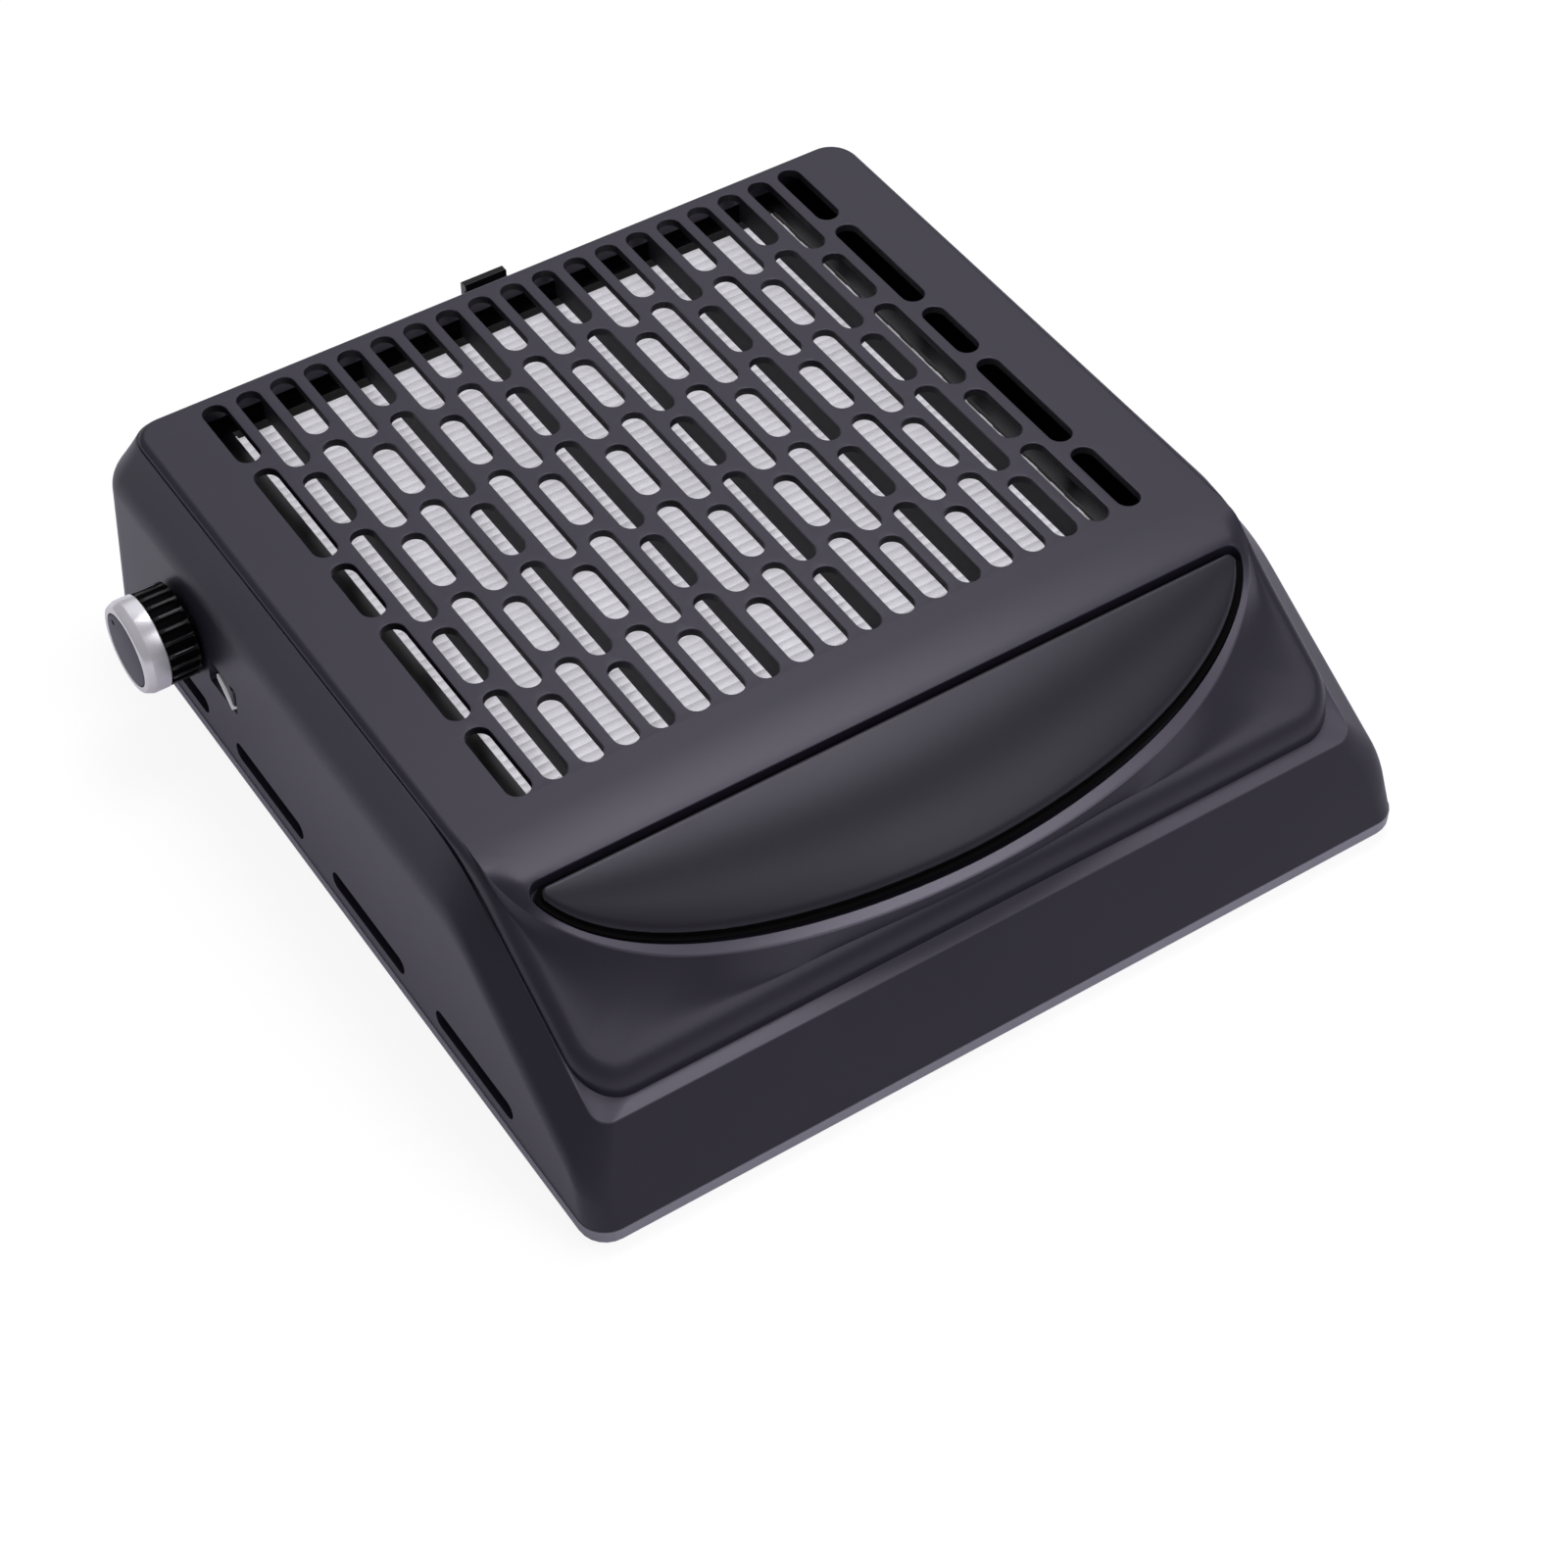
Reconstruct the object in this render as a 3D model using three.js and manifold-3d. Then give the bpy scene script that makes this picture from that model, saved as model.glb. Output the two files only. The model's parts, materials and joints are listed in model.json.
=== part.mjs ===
// Table-top nail dust collector: a fan draws dust down through a slotted top into a filter drawer.
// Millimetres, +Z up. Everything is drawn in the case's own frame: X = 0 on the mirror plane,
// Y = 0 halfway between the base's front (-Y, the hand rest) and rear, Z = 0 on the table.
import * as THREE from "three";
import { mergeVertices } from "three/addons/utils/BufferGeometryUtils.js";
import Module from "manifold-3d";

const wasm = await Module();
wasm.setup();

// Driving dimensions of the case
const BASE_HALF_X = 128;
const BASE_HALF_Y = 134.7;
const FOOT_LIFT = 1.5;
const BASE_TOP = 6.1;
const WALL = 2.4;
const GAP = 0.3;
const SIDE_DRAFT = 0.05;
const REAR_DRAFT = 0.048;
const FACE_LEAN = 0.5205;
const CREASE_Z = 70.3;
const PANEL_Z = 72.2;
const LEDGE_Z = 30.5;
const LEDGE_Y = -122;
const SLOPE = 0.633;
const SHOULDER_Z = 56.8;
const SHOULDER_DROP = 8.5;
const CREASE_HALF_X = 117.9;
const CREASE_REAR_Y = 125;

// The cover that drops into the case: its outline, slots, ribs and hand rest
const COVER = { halfX: 117.3, front: -119.3, rear: 124.4, frontR: 12, rearR: 8.5 };
const COVER_JOIN_Y = -48;
const SKIRT_DEPTH = 5.5;
const SLOT_PITCH = 10.5;
const SLOT_WIDTH = 7.05;
const SLOT_LONG = 39.88;
const SLOT_SHORT = 22.44;
const SLOT_GAP = 4.03;
const SLOT_REAR_Y = 120;
const SLOT_COLUMNS = 19;
const SLOT_FIELD = 171.33;
const RIB_DEPTH = 7.4;
const RIB_WIDTH = 1.8;
const TOP_BEND_Y = -59;
const TOP_BEND_R = 92;
const BROW = { y: -66, a: 116, b: 51.5, low: 49 };
const PAD = { y: -75.6, z: 70.7, a: 106.2, b: 39.4, groove: 1.8, thick: 2.6 };
const FIELD_LIFT = 5.3;

// The filter drawer, the fan and the controls
const DRAWER_HALF_X = 96.5;
const DRAWER_Z = [38.2, 61.7];
const FILTER_Y = [-52, 121.4];
const FILTER_HALF_X = 94.2;
const MEDIA_HALF_X = 89.3;
const FRAME_WALL = 3;
const FILTER_Z = [40.5, 61.2];
const PLEATS = 55;
const FAN_Y = 34.5;
const DECK_Z = [34, 36.2];
const BLADES = 11;
const KNOB = { y: 83, z: 35.5, back: -127.3, out: -143.7, gripR: 13.6, ringR: 13.7, faceR: 12.8 };
const ROCKER = { x: -123.5, y: 60, z: 31.7, tilt: -9 };
const INLET = { x: 62, z: 19 };
const SCREW_XY = [114, -116, 119];
const FOOT_XY = [92, 112];
const DECK_SCREW_XY = [104, -78, 112];

const clamp = THREE.MathUtils.clamp;
const lerp = THREE.MathUtils.lerp;
const smoothstep = THREE.MathUtils.smoothstep;
const V2 = (x, y) => new THREE.Vector2(x, y);

// Closed geometries to solids and back
function solid(geometry) {
  const bare = geometry.clone();
  bare.deleteAttribute("normal");
  bare.deleteAttribute("uv");
  const merged = mergeVertices(bare, 1e-4);
  const make = (triVerts) => {
    const vertProperties = merged.attributes.position.array;
    return new wasm.Manifold(new wasm.Mesh({ numProp: 3, vertProperties, triVerts }));
  };
  const made = make(new Uint32Array(merged.index.array));
  return made.volume() > 0 ? made : make(new Uint32Array(merged.index.array).reverse());
}

function geometryOf(shape) {
  const mesh = shape.getMesh();
  const geometry = new THREE.BufferGeometry();
  geometry.setAttribute("position", new THREE.BufferAttribute(mesh.vertProperties, 3));
  geometry.setIndex(new THREE.BufferAttribute(mesh.triVerts, 1));
  return geometry;
}

const join = (...shapes) => shapes.reduce((all, next) => all.add(next));
const cut = (shape, ...tools) => tools.reduce((left, tool) => left.subtract(tool), shape);

function box([x0, x1], [y0, y1], [z0, z1]) {
  const geometry = new THREE.BoxGeometry(x1 - x0, y1 - y0, z1 - z0);
  return solid(geometry.translate((x0 + x1) / 2, (y0 + y1) / 2, (z0 + z1) / 2));
}

// Prisms: an outline drawn in the plane across each axis, pushed along that axis
const AXES = {
  x: [new THREE.Vector3(0, 1, 0), new THREE.Vector3(0, 0, 1), new THREE.Vector3(1, 0, 0)],
  y: [new THREE.Vector3(0, 0, 1), new THREE.Vector3(1, 0, 0), new THREE.Vector3(0, 1, 0)],
  z: [new THREE.Vector3(1, 0, 0), new THREE.Vector3(0, 1, 0), new THREE.Vector3(0, 0, 1)],
};

function prism(axis, outline, from, to, options = {}) {
  const shape = Array.isArray(outline) ? new THREE.Shape(outline.map((p) => V2(...p))) : outline;
  const settings = { depth: to - from, bevelEnabled: false, curveSegments: 3, ...options };
  const geometry = new THREE.ExtrudeGeometry(shape, settings).translate(0, 0, from);
  return solid(geometry.applyMatrix4(new THREE.Matrix4().makeBasis(...AXES[axis])));
}

// A profile of [radius, height] points spun about an axis through centre
function turned(axis, centre, profile, sides = 32) {
  const geometry = new THREE.LatheGeometry(profile.map((p) => V2(...p)), sides);
  geometry.rotateX(Math.PI / 2);
  geometry.applyMatrix4(new THREE.Matrix4().makeBasis(...AXES[axis]));
  return solid(geometry.translate(...centre));
}

function rod(axis, centre, radius, from, to, sides = 24) {
  return turned(axis, centre, [[0, from], [radius, from], [radius, to], [0, to]], sides);
}

function tube(axis, centre, [inner, outer], from, to, sides = 24) {
  const profile = [[inner, from], [outer, from], [outer, to], [inner, to], [inner, from]];
  return turned(axis, centre, profile, sides);
}

// A stadium outline, long along the second drawing axis or the first
function stadium(cx, cy, width, length, alongFirst = false) {
  const shape = new THREE.Path();
  const r = width / 2;
  const half = length / 2 - r;
  if (alongFirst) {
    shape.absarc(cx + half, cy, r, -Math.PI / 2, Math.PI / 2);
    shape.absarc(cx - half, cy, r, Math.PI / 2, (3 * Math.PI) / 2);
  } else {
    shape.absarc(cx, cy + half, r, 0, Math.PI);
    shape.absarc(cx, cy - half, r, Math.PI, 2 * Math.PI);
  }
  return shape;
}

const shapeOf = (path) => new THREE.Shape(path.getPoints(3));

// A rectangle with its own radius for the front and the rear corners
function roundedOutline({ halfX, front, rear, frontR, rearR }, grow = 0) {
  const x = halfX + grow;
  const shape = new THREE.Shape();
  const f = frontR + grow;
  const r = rearR + grow;
  shape.absarc(x - f, front - grow + f, f, -Math.PI / 2, 0);
  shape.absarc(x - r, rear + grow - r, r, 0, Math.PI / 2);
  shape.absarc(-x + r, rear + grow - r, r, Math.PI / 2, Math.PI);
  shape.absarc(-x + f, front - grow + f, f, Math.PI, (3 * Math.PI) / 2);
  shape.closePath();
  return shape;
}

// An open surface of points and triangles, and its copy inside it, closed along the edge between them
function thicken(outer, inner, triangles) {
  const count = outer.length;
  const faces = [...triangles];
  const edges = new Map();
  for (let i = 0; i < triangles.length; i += 3) {
    const [a, b, c] = triangles.slice(i, i + 3);
    faces.push(a + count, c + count, b + count);
    for (const [p, q] of [[a, b], [b, c], [c, a]]) edges.set(p + "," + q, [p, q]);
  }
  for (const [p, q] of edges.values()) {
    if (edges.has(q + "," + p)) continue;
    faces.push(q, p, p + count, q, p + count, q + count);
  }
  return indexed([...outer, ...inner], faces);
}

function indexed(points, faces) {
  const geometry = new THREE.BufferGeometry();
  geometry.setAttribute("position", new THREE.Float32BufferAttribute(points.flat(), 3));
  geometry.setIndex(faces);
  return solid(geometry);
}

function gridFaces(rows, columns, start = 0) {
  const faces = [];
  for (let i = 0; i < rows - 1; i++)
    for (let j = 0; j < columns - 1; j++) {
      const a = start + i * columns + j;
      faces.push(a, a + columns, a + columns + 1, a, a + columns + 1, a + 1);
    }
  return faces;
}

// Heights of the case: its sloping shoulder line, and the top of the walls below it
function bent(y, level, bend, blend) {
  const past = bend + blend - y;
  if (past <= 0) return level;
  if (past >= 2 * blend) return level - SLOPE * (bend - y);
  return level - (SLOPE * past * past) / (4 * blend);
}

const ROOF_BEND_Y = LEDGE_Y + (CREASE_Z - LEDGE_Z) / SLOPE;
const roofZ = (y) => bent(y, CREASE_Z, ROOF_BEND_Y, 14);
const WALL_BEND_Y = LEDGE_Y + (SHOULDER_Z + SHOULDER_DROP - LEDGE_Z) / SLOPE;
const wallZ = (y) => bent(y, SHOULDER_Z, WALL_BEND_Y, 8);
const FIELD_BEND_Y = LEDGE_Y + (PANEL_Z - FIELD_LIFT - LEDGE_Z) / SLOPE;
const fieldZ = (y) => bent(y, PANEL_Z, FIELD_BEND_Y, 9);
const sideX = (z) => BASE_HALF_X - SIDE_DRAFT * (z - FOOT_LIFT);
const rearY = (z) => BASE_HALF_Y - REAR_DRAFT * (z - FOOT_LIFT);
const faceY = (z) => -BASE_HALF_Y + FACE_LEAN * (z - BASE_TOP);

// One ring round the case: a height for every Y, and how far it is drawn in from the drafted walls
const SIDE_STEPS = [0, 0.1, 0.2, 0.26, 0.32, 0.4, 1];

function ring({ height, halfX, front, rear, frontR, rearR }) {
  const points = [];
  const corner = (sx, cy, r, from) => {
    const cx = halfX(height(cy)) - r;
    for (let k = 0; k <= 3; k++) {
      const angle = from + (k * Math.PI) / 6;
      const y = cy + r * Math.sin(angle);
      points.push([sx * cx + r * Math.cos(angle), y, height(y)]);
    }
  };
  const side = (sx, steps) => {
    for (const s of steps.slice(1, -1)) {
      const y = lerp(front + frontR, rear - rearR, s);
      points.push([sx * halfX(height(y)), y, height(y)]);
    }
  };
  corner(1, front + frontR, frontR, -Math.PI / 2);
  side(1, SIDE_STEPS);
  corner(1, rear - rearR, rearR, 0);
  corner(-1, rear - rearR, rearR, Math.PI / 2);
  side(-1, [...SIDE_STEPS].reverse());
  corner(-1, front + frontR, frontR, Math.PI);
  return points;
}

// The walls, the rounded shoulder and the sloping band up to the crease, as one closed body
function caseBody(inset, floor, lower) {
  const lean = inset * Math.hypot(1, FACE_LEAN);
  const level = (height, drawn, mix) => {
    return ring({
      height,
      halfX: (z) => lerp(sideX(z) - drawn, CREASE_HALF_X, mix) - inset,
      front: faceY(frontOf(height)) + lean,
      rear: lerp(rearY(height(BASE_HALF_Y)) - drawn, CREASE_REAR_Y, mix) - inset,
      frontR: lerp(8, 3, mix),
      rearR: lerp(12, 8.5, mix),
    });
  };
  const shoulder = (fraction) => (y) => lerp(wallZ(y), roofZ(y), fraction) - lower;
  const rings = [
    level(() => floor, 0, 0),
    level((y) => wallZ(y) - lower - 2.2, 0, 0),
    level((y) => wallZ(y) - lower - 0.4, 0.5, 0),
    level(shoulder(0.16), 0.2, 0.22),
    level(shoulder(1), 0, 1),
  ];
  const columns = rings[0].length;
  const faces = [];
  rings.slice(1).forEach((_, k) => {
    for (let j = 0; j < columns; j++) {
      const a = k * columns + j;
      const b = k * columns + ((j + 1) % columns);
      faces.push(a, b, b + columns, a, b + columns, a + columns);
    }
  });
  const half = columns / 2;
  const top = (rings.length - 1) * columns;
  for (let j = 0; j < half - 1; j++) {
    const [a, b, c, d] = [j, j + 1, columns - 2 - j, columns - 1 - j];
    faces.push(top + a, top + b, top + c, top + a, top + c, top + d);
    faces.push(a, c, b, a, d, c);
  }
  return indexed(rings.flat(), faces);
}

// The front face's Y where a sloping ring meets it
function frontOf(height) {
  let y = LEDGE_Y;
  for (let k = 0; k < 20; k++) y = faceY(height(y));
  return height(y);
}

function slabAlong(height, low, high, halfX = 130) {
  const stations = [];
  for (let y = -132; y <= 136; y += 4) stations.push(y);
  const upper = stations.map((y) => [y, height(y) + high]);
  const lower = stations.map((y) => [y, height(y) + low]).reverse();
  return prism("x", [...upper, ...lower], -halfX, halfX);
}

// Outer housing: walls with vents, a rear slot for the drawer and the seat that carries the cover
const VENT = { first: -75.5, pitch: 55.5, length: 39, height: 5.7, z: 12.85 };
const DRAWER_SLOT = { halfX: 97.3, z: [37.9, 62.1] };

function outerHousing() {
  const outer = caseBody(0, BASE_TOP + GAP, 0);
  const inner = caseBody(WALL, 0, WALL);
  const opening = prism("z", roundedOutline(COVER, GAP), 0, 90);
  const seatRing = cut(
    prism("z", roundedOutline(COVER, 3.5), 0, 90),
    prism("z", roundedOutline(COVER, -3.2), -1, 91),
  );
  const seat = seatRing.intersect(slabAlong(roofZ, -7.8, -6)).intersect(caseBody(0.6, 0, 0.6));
  const shell = join(cut(outer, inner, opening), seat, ...cornerBosses());
  return cut(shell, ...vents(), ...wallHoles());
}

function vents() {
  const tools = [];
  for (let k = 0; k < 4; k++) {
    const y = VENT.first + VENT.pitch * k;
    const outline = shapeOf(stadium(y, VENT.z, VENT.height, VENT.length, true));
    tools.push(prism("x", outline, 115, 135), prism("x", outline, -135, -115));
  }
  return tools;
}

function wallHoles() {
  const slotX = [-DRAWER_SLOT.halfX, DRAWER_SLOT.halfX];
  const rocker = box([-135, -118], [ROCKER.y - 8.2, ROCKER.y + 8.2], [ROCKER.z - 4.2, ROCKER.z + 4.2]);
  const inlet = box([INLET.x - 11.4, INLET.x + 11.4], [126, 140], [INLET.z - 6.4, INLET.z + 6.4]);
  return [
    box(slotX, [118, 140], DRAWER_SLOT.z),
    rod("x", [0, KNOB.y, KNOB.z], 4.2, -135, -118),
    rocker,
    inlet,
  ];
}

function cornerPoints([x, front, rear]) {
  return [[-x, front], [x, front], [-x, rear], [x, rear]];
}

// Screw bosses stand on the base and are webbed to the walls
function cornerBosses() {
  return cornerPoints(SCREW_XY).map(([x, y]) => {
    const top = y < 0 ? 24 : 33;
    const z = [BASE_TOP + 2 * GAP, top];
    const side = Math.sign(x);
    const across = [x, side * (sideX(top) - 1)].sort((p, q) => p - q);
    const wallY = y < 0 ? faceY(top) + 1 : rearY(top) - 1;
    const along = [y, wallY].sort((p, q) => p - q);
    const webs = join(box(across, [y - 1, y + 1], z), box([x - 1, x + 1], along, z));
    return cut(join(rod("z", [x, y, 0], 4.5, ...z, 12), webs), rod("z", [x, y, 0], 1.8, 0, 20, 8));
  });
}

// The slots: long, short and end lengths set out in two alternating columns
const STEP = (SLOT_LONG + SLOT_SHORT) / 2 + SLOT_GAP;
const SLOT_MID_Y = SLOT_REAR_Y - SLOT_FIELD / 2;

function slotColumn(column) {
  const x = (column - (SLOT_COLUMNS - 1) / 2) * SLOT_PITCH;
  const even = column % 2 === 0;
  const slots = [];
  for (let k = -1; k <= 1; k++) {
    const long = even ? k !== 0 : k === 0;
    slots.push([SLOT_MID_Y + k * STEP, long ? SLOT_LONG : SLOT_SHORT]);
  }
  const reach = STEP + (even ? SLOT_LONG : SLOT_SHORT) / 2 + SLOT_GAP;
  const endLength = SLOT_FIELD / 2 - reach;
  for (const side of [-1, 1]) slots.push([SLOT_MID_Y + side * (reach + endLength / 2), endLength]);
  return slots.map(([y, length]) => {
    const outline = new THREE.Shape(stadium(x, y, SLOT_WIDTH, length).getPoints(2));
    return prism("z", outline, 60, 80);
  });
}

function grillePlate() {
  const outline = roundedOutline(COVER);
  const rim = CREASE_Z + 0.2;
  const bevel = { bevelEnabled: true, bevelThickness: PANEL_Z - rim, bevelSize: 2.3 };
  const rounding = { ...bevel, bevelOffset: -bevel.bevelSize, bevelSegments: 3 };
  const block = prism("z", outline, rim - 6, rim, rounding);
  const rearHalf = box([-130, 130], [COVER_JOIN_Y, 130], [PANEL_Z - WALL - 0.15, 80]);
  const skirtWall = cut(
    prism("z", outline, CREASE_Z - SKIRT_DEPTH, rim),
    prism("z", roundedOutline(COVER, -WALL), 50, 80),
  );
  const skirt = skirtWall.intersect(box([-130, 130], [COVER_JOIN_Y, 130], [50, 80]));
  return join(block.intersect(rearHalf), skirt, ...grilleRibs());
}

function grilleRibs() {
  const ribs = [];
  for (const column of [1.5, 4.5, 7.5, 10.5, 13.5, 16.5]) {
    const x = (column - (SLOT_COLUMNS - 1) / 2) * SLOT_PITCH;
    const top = PANEL_Z - WALL + 0.6;
    const z = [top - 0.6 - RIB_DEPTH, top];
    ribs.push(box([x - RIB_WIDTH / 2, x + RIB_WIDTH / 2], [-47, 118.5], z));
  }
  return ribs;
}

// The brow: the edge where the top sweeps down and round to the front, as an ellipse seen from above
const browZ = (y) => BROW.low + (PANEL_Z - BROW.low) * smoothstep((y + 117.5) / 56, 0, 1);
const topZ = (y) => PANEL_Z - Math.max(0, TOP_BEND_Y - y) ** 2 / (2 * TOP_BEND_R);

function arcY(x, inset = 0) {
  const a = PAD.a - inset;
  return PAD.y - (PAD.b - inset) * Math.sqrt(Math.max(0, 1 - (x / a) ** 2));
}

function rimInnerZ(y) {
  const rise = (y - PAD.y + PAD.b) / PAD.b;
  return browZ(y) + 0.8 + 1.4 * rise ** 4;
}

// The hand rest's surface: it leaves the chord gently and turns down ever faster to the arc
function padZ(x, y) {
  const xIn = clamp(Math.abs(x), 0, PAD.a - 0.5);
  const end = arcY(xIn);
  const s = clamp((PAD.y - y) / (PAD.y - end), 0, 1);
  const drop = PAD.z - rimInnerZ(end) - 1.2 * Math.sqrt(1 - (xIn / PAD.a) ** 2);
  return PAD.z - drop * (0.43 * s + 0.57 * s ** 3);
}

// Distance from the cover's outline, negative inside, for the part in front of its rear corners
function outlineDistance(x, y) {
  const r = COVER.frontR;
  const dx = Math.abs(x) - (COVER.halfX - r);
  const dy = COVER.front + r - y;
  return Math.hypot(Math.max(dx, 0), Math.max(dy, 0)) + Math.min(Math.max(dx, dy), 0) - r;
}

// How far the rounded edge reaches in: wide on the flat top, narrow on the slope
const edgeInset = (y) => lerp(1.2, 2.3, smoothstep(y, BROW.y, COVER_JOIN_Y + 2));

// The point on the line from the middle of the brow through [x, y] that lies inset from the outline
function outward(x, y, inset) {
  const from = V2(0, BROW.y);
  const along = V2(x, y).sub(from);
  let [near, far] = [0.5, 3];
  for (let k = 0; k < 40; k++) {
    const mid = (near + far) / 2;
    const p = along.clone().multiplyScalar(mid).add(from);
    if (outlineDistance(p.x, p.y) < -inset(p.y)) near = mid;
    else far = mid;
  }
  return along.multiplyScalar(near).add(from);
}

const FRONT_STATIONS = 26;
const COVE_STEPS = [0.14, 0.36, 0.65, 1];
const EDGE_ANGLES = [45, 90];

// Columns of the top surface from the plate to the brow, at one X
function topColumn(angle) {
  const x = BROW.a * Math.sin(angle);
  const browY = BROW.y - BROW.b * Math.cos(angle);
  const inPad = Math.abs(x) < PAD.a - 0.4;
  const rimY = inPad ? arcY(x) : lerp(PAD.y, browY, 0.5);
  const chordY = Math.max(PAD.y, lerp(COVER_JOIN_Y + 3, browY, 0.75));
  const start = COVER_JOIN_Y + 3;
  const drop = topZ(browY) - browZ(browY);
  const free = (y) => topZ(y) - drop * clamp((TOP_BEND_Y - y) / (TOP_BEND_Y - browY), 0, 1) ** 2;
  const height = (y) => {
    if (!inPad) return y > TOP_BEND_Y ? PANEL_Z : free(y);
    return y >= PAD.y ? topZ(y) : padZ(x, y);
  };
  const ys = [start, lerp(start, BROW.y, 0.3), Math.max(TOP_BEND_Y, chordY + 3)];
  for (const s of [0.4, 0.7, 1]) ys.push(lerp(ys[2], chordY, s));
  const narrowed = (y) => x * (1 - 0.016 * smoothstep(y, BROW.y, COVER_JOIN_Y));
  const points = ys.map((y) => [narrowed(y), y, height(y)]);
  for (const s of [0.35, 0.7, 1]) {
    const y = lerp(chordY, rimY, s);
    const z = s === 1 && inPad ? rimInnerZ(rimY) : height(y);
    points.push([x, y, z]);
  }
  points.push([x, browY, Math.min(browZ(browY), height(TOP_BEND_Y))]);
  return points;
}

// From the brow out to the edge of the field, over its rounded edge and down the skirt
function outerColumn([x, y, z], sideward) {
  const aim = sideward ? null : outward(x, y, edgeInset);
  const edge = sideward ? V2(Math.sign(x) * (COVER.halfX - edgeInset(y)), y) : aim;
  const span = Math.hypot(edge.x - x, edge.y - y);
  const lift = z - fieldZ(y);
  const points = [];
  for (const v of COVE_STEPS) {
    const px = lerp(x, edge.x, v);
    const py = lerp(y, edge.y, v);
    const w = Math.min(1, v * Math.max(1, span / 25));
    points.push([px, py, fieldZ(py) + lift * (1 - w) ** 2.2]);
  }
  const fall = fieldZ(edge.y) - roofZ(edge.y) - 0.2;
  for (const degrees of EDGE_ANGLES) {
    const turn = THREE.MathUtils.degToRad(degrees);
    const inset = (py) => edgeInset(py) * (1 - Math.sin(turn));
    const p = sideward
      ? V2(Math.sign(x) * (COVER.halfX - inset(y)), y)
      : outward(x, y, inset);
    points.push([p.x, p.y, fieldZ(p.y) - fall * (1 - Math.cos(turn))]);
  }
  const last = points[points.length - 1];
  points.push([last[0], last[1], roofZ(last[1]) - SKIRT_DEPTH]);
  return points;
}

// The swept front of the cover, hollow below, open where the hand rest sits
function sweptFront() {
  const columns = [];
  for (let k = 0; k < FRONT_STATIONS; k++)
    columns.push(topColumn(-Math.PI / 2 + (Math.PI * k) / (FRONT_STATIONS - 1)));
  const across = columns[0].length;
  const points = columns.flat();
  const faces = gridFaces(FRONT_STATIONS, across);
  const border = [];
  for (let j = 0; j < across - 1; j++) border.push([j, true]);
  for (let k = 0; k < FRONT_STATIONS; k++) border.push([k * across + across - 1, false]);
  for (let j = across - 2; j >= 0; j--) border.push([(FRONT_STATIONS - 1) * across + j, true]);
  const rows = border.map(([index, sideward]) => {
    const first = points.length;
    points.push(...outerColumn(points[index], sideward));
    const row = [index];
    for (let k = first; k < points.length; k++) row.push(k);
    return row;
  });
  rows.slice(1).forEach((row, k) => {
    for (let j = 0; j < row.length - 1; j++) {
      const [a, b, c, d] = [rows[k][j], row[j], row[j + 1], rows[k][j + 1]];
      faces.push(a, b, c, a, c, d);
    }
  });
  return thicken(points, points.map((p, k) => underside(p, k < FRONT_STATIONS * across)), faces);
}

// The inner surface: the outer one drawn in by the wall, and lower under the hand rest
function underside([x, y, z], onTop) {
  const start = COVER_JOIN_Y + 3;
  const scaleX = 1 - WALL / COVER.halfX;
  const scaleY = 1 - WALL / (start - COVER.front);
  const inner = [x * scaleX, start + (y - start) * scaleY];
  const bottom = roofZ(inner[1]) - SKIRT_DEPTH;
  const depth = onTop && y < PAD.y + 4 ? WALL + PAD.thick : WALL;
  const atSkirt = z <= roofZ(y) - SKIRT_DEPTH + 1e-6;
  return [...inner, atSkirt ? bottom : Math.max(z - depth, bottom + 0.5)];
}

// A crescent between the chord and the arc, following the hand rest's surface
function crescent(inset, high, low) {
  const steps = 21;
  const across = 6;
  const turn = THREE.MathUtils.degToRad(83);
  const upper = [];
  const lower = [];
  for (let i = 0; i < steps; i++) {
    const angle = lerp(-turn, turn, i / (steps - 1));
    const x = (PAD.a - inset) * Math.sin(angle);
    const chord = PAD.y - inset;
    const end = arcY(x, inset);
    for (let j = 0; j < across; j++) {
      const y = lerp(chord, end, j / (across - 1));
      upper.push([x, y, padZ(x, y) + high]);
      lower.push([x, y, padZ(x, y) + low]);
    }
  }
  return thicken(upper, lower, gridFaces(steps, across));
}

const handRestPad = () => crescent(PAD.groove, 0, -PAD.thick);

function topCover() {
  const pocket = crescent(0, 8, -PAD.thick - GAP);
  const slots = [];
  for (let column = 0; column < SLOT_COLUMNS; column++) slots.push(...slotColumn(column));
  return cut(join(cut(sweptFront(), pocket), grillePlate()), ...slots);
}

// Base plate: a shallow tray with posts for the deck, a ring for the motor and pads for the screws
function baseOutline(grow) {
  const outline = { halfX: BASE_HALF_X, front: -BASE_HALF_Y, rear: BASE_HALF_Y, frontR: 8, rearR: 12 };
  return roundedOutline(outline, grow);
}

const FLOOR_TOP = 3.9;
const BOARD = { x: [-92, -22], y: [-108, -70], z: 8.3 };
const MOTOR_SCREW_R = 19;
const BASE_CHAMFER = 1;

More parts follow.
